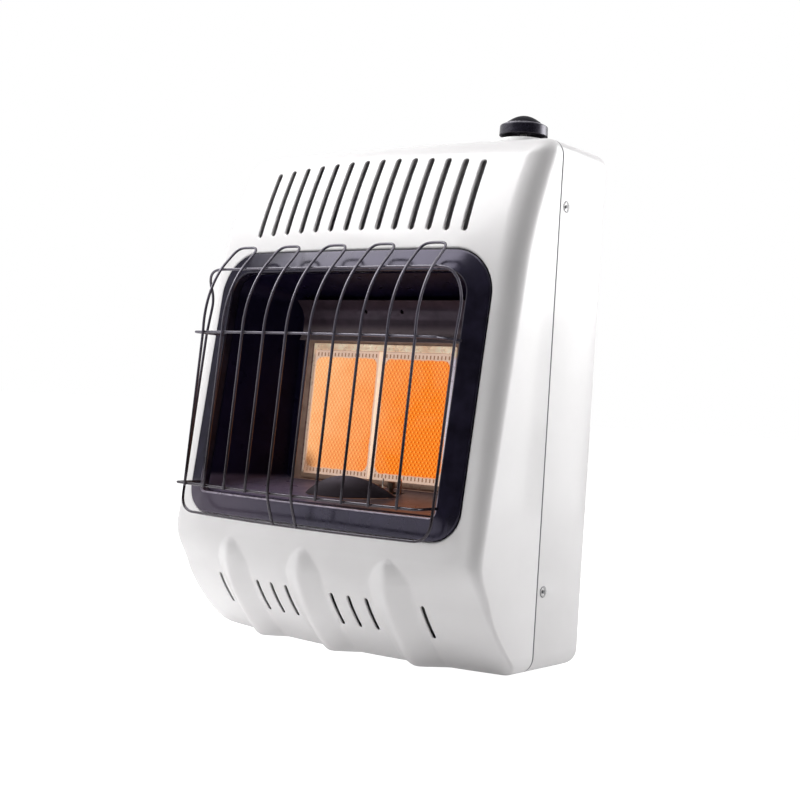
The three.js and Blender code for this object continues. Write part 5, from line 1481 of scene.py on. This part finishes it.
def build_camera():
    azimuth, elevation, roll = CAMERA_AZIMUTH, CAMERA_ELEVATION, CAMERA_ROLL
    look = Vector((-math.sin(azimuth) * math.cos(elevation), math.cos(azimuth) * math.cos(elevation),
                   -math.sin(elevation)))
    right = Vector((math.cos(azimuth), math.sin(azimuth), 0))
    up = right.cross(look)
    x_axis = right * math.cos(roll) + up * math.sin(roll)
    y_axis = up * math.cos(roll) - right * math.sin(roll)
    data = bpy.data.cameras.new("camera")
    data.sensor_width = SENSOR
    data.lens = SENSOR * FOCAL_PIXELS / PICTURE_PIXELS
    data.clip_end = 100
    camera = new_object("camera", data)
    rotation = Matrix((x_axis, y_axis, -look)).transposed()
    camera.matrix_world = Matrix.Translation(point(*CAMERA_PLACE)) @ rotation.to_4x4()
    bpy.context.scene.camera = camera


def build_softbox(name, azimuth, elevation, distance, width, height, power):
    """A softbox that faces the heater. Azimuth 0 is in front, 90 on the right."""
    data = bpy.data.lights.new(name, "AREA")
    data.shape = "RECTANGLE"
    data.size = width
    data.size_y = height
    data.energy = power
    light = new_object(name, data)
    a, e = math.radians(azimuth), math.radians(elevation)
    offset = Vector((math.sin(a) * math.cos(e), -math.cos(a) * math.cos(e), math.sin(e))) * distance
    light.location = Vector(SOFTBOX_AIM) + offset
    light.rotation_euler = (-offset).to_track_quat("-Z", "Y").to_euler()


def build_world():
    """A white backdrop behind the heater and a dark studio in front of it."""
    world = bpy.data.worlds.new("studio")
    bpy.context.scene.world = world
    world.use_nodes = True
    studio = Nodes(world.node_tree)
    rays = studio.node("ShaderNodeLightPath").outputs
    way = studio.node("ShaderNodeTexCoord").outputs["Generated"]
    front = studio.node("ShaderNodeVectorMath", (way, FRONT_WAY), operation="DOT_PRODUCT")
    height = studio.node("ShaderNodeSeparateXYZ", [way]).outputs["Z"]

    def shade(behind, before, overhead):
        level = studio.step(front.outputs["Value"], *FRONT_BAND, behind, before)
        return studio.mix(studio.step(height, *OVERHEAD_BAND), level, overhead, "FLOAT")

    lit, shown = shade(*BACKDROP_LIGHT), shade(*BACKDROP_IN_GLOSS)
    strength = studio.mix(rays["Is Glossy Ray"], lit, shown, "FLOAT")
    for ray in ("Is Transmission Ray", "Is Camera Ray"):
        strength = studio.mix(rays[ray], strength, 1, "FLOAT")
    background = world.node_tree.nodes["Background"]
    studio.give(background.inputs["Color"], (1, 1, 1))
    studio.give(background.inputs["Strength"], strength)


def build_floor():
    mesh = bpy.data.meshes.new("floor")
    corners = [(-1, -1), (1, -1), (1, 1), (-1, 1)]
    mesh.from_pydata([(x * FLOOR_REACH, y * FLOOR_REACH, 0) for x, y in corners], [], [(0, 1, 2, 3)])
    floor = new_object("floor", mesh)
    floor.location.z = -FLOOR_DROP
    look = Look("floor", (0.75, 0.75, 0.75), 0.9, Emission_Color=(1, 1, 1))
    glow = look.step(look.x, -0.4, 0.6, *FLOOR_GLOW)
    seen = look.node("ShaderNodeLightPath").outputs["Is Camera Ray"]
    extra = look.math("SUBTRACT", FLOOR_SEEN, glow)
    look.set(Base_Color=look.varied(400, 0.01),
             Emission_Strength=look.math("MULTIPLY_ADD", seen, extra, glow))
    floor.data.materials.append(look.material)


build_camera()
build_world()
build_floor()
for light_name, placing in SOFTBOXES.items():
    build_softbox(light_name, *placing)

bpy.context.scene.view_settings.view_transform = "Standard"

build_rear_case()
build_cover()
build_bezel()
build_firebox()
build_deflector()
build_burner()
build_pilot_shield()
build_guard()
build_knob()
for screw_side, side_name in ((-1, "left"), (1, "right")):
    for screw_height, level in ((SCREW_HIGH, "upper"), (SCREW_LOW, "lower")):
        build_screw(f"side_screw_{side_name}_{level}", screw_side, screw_height)
finish_inner()
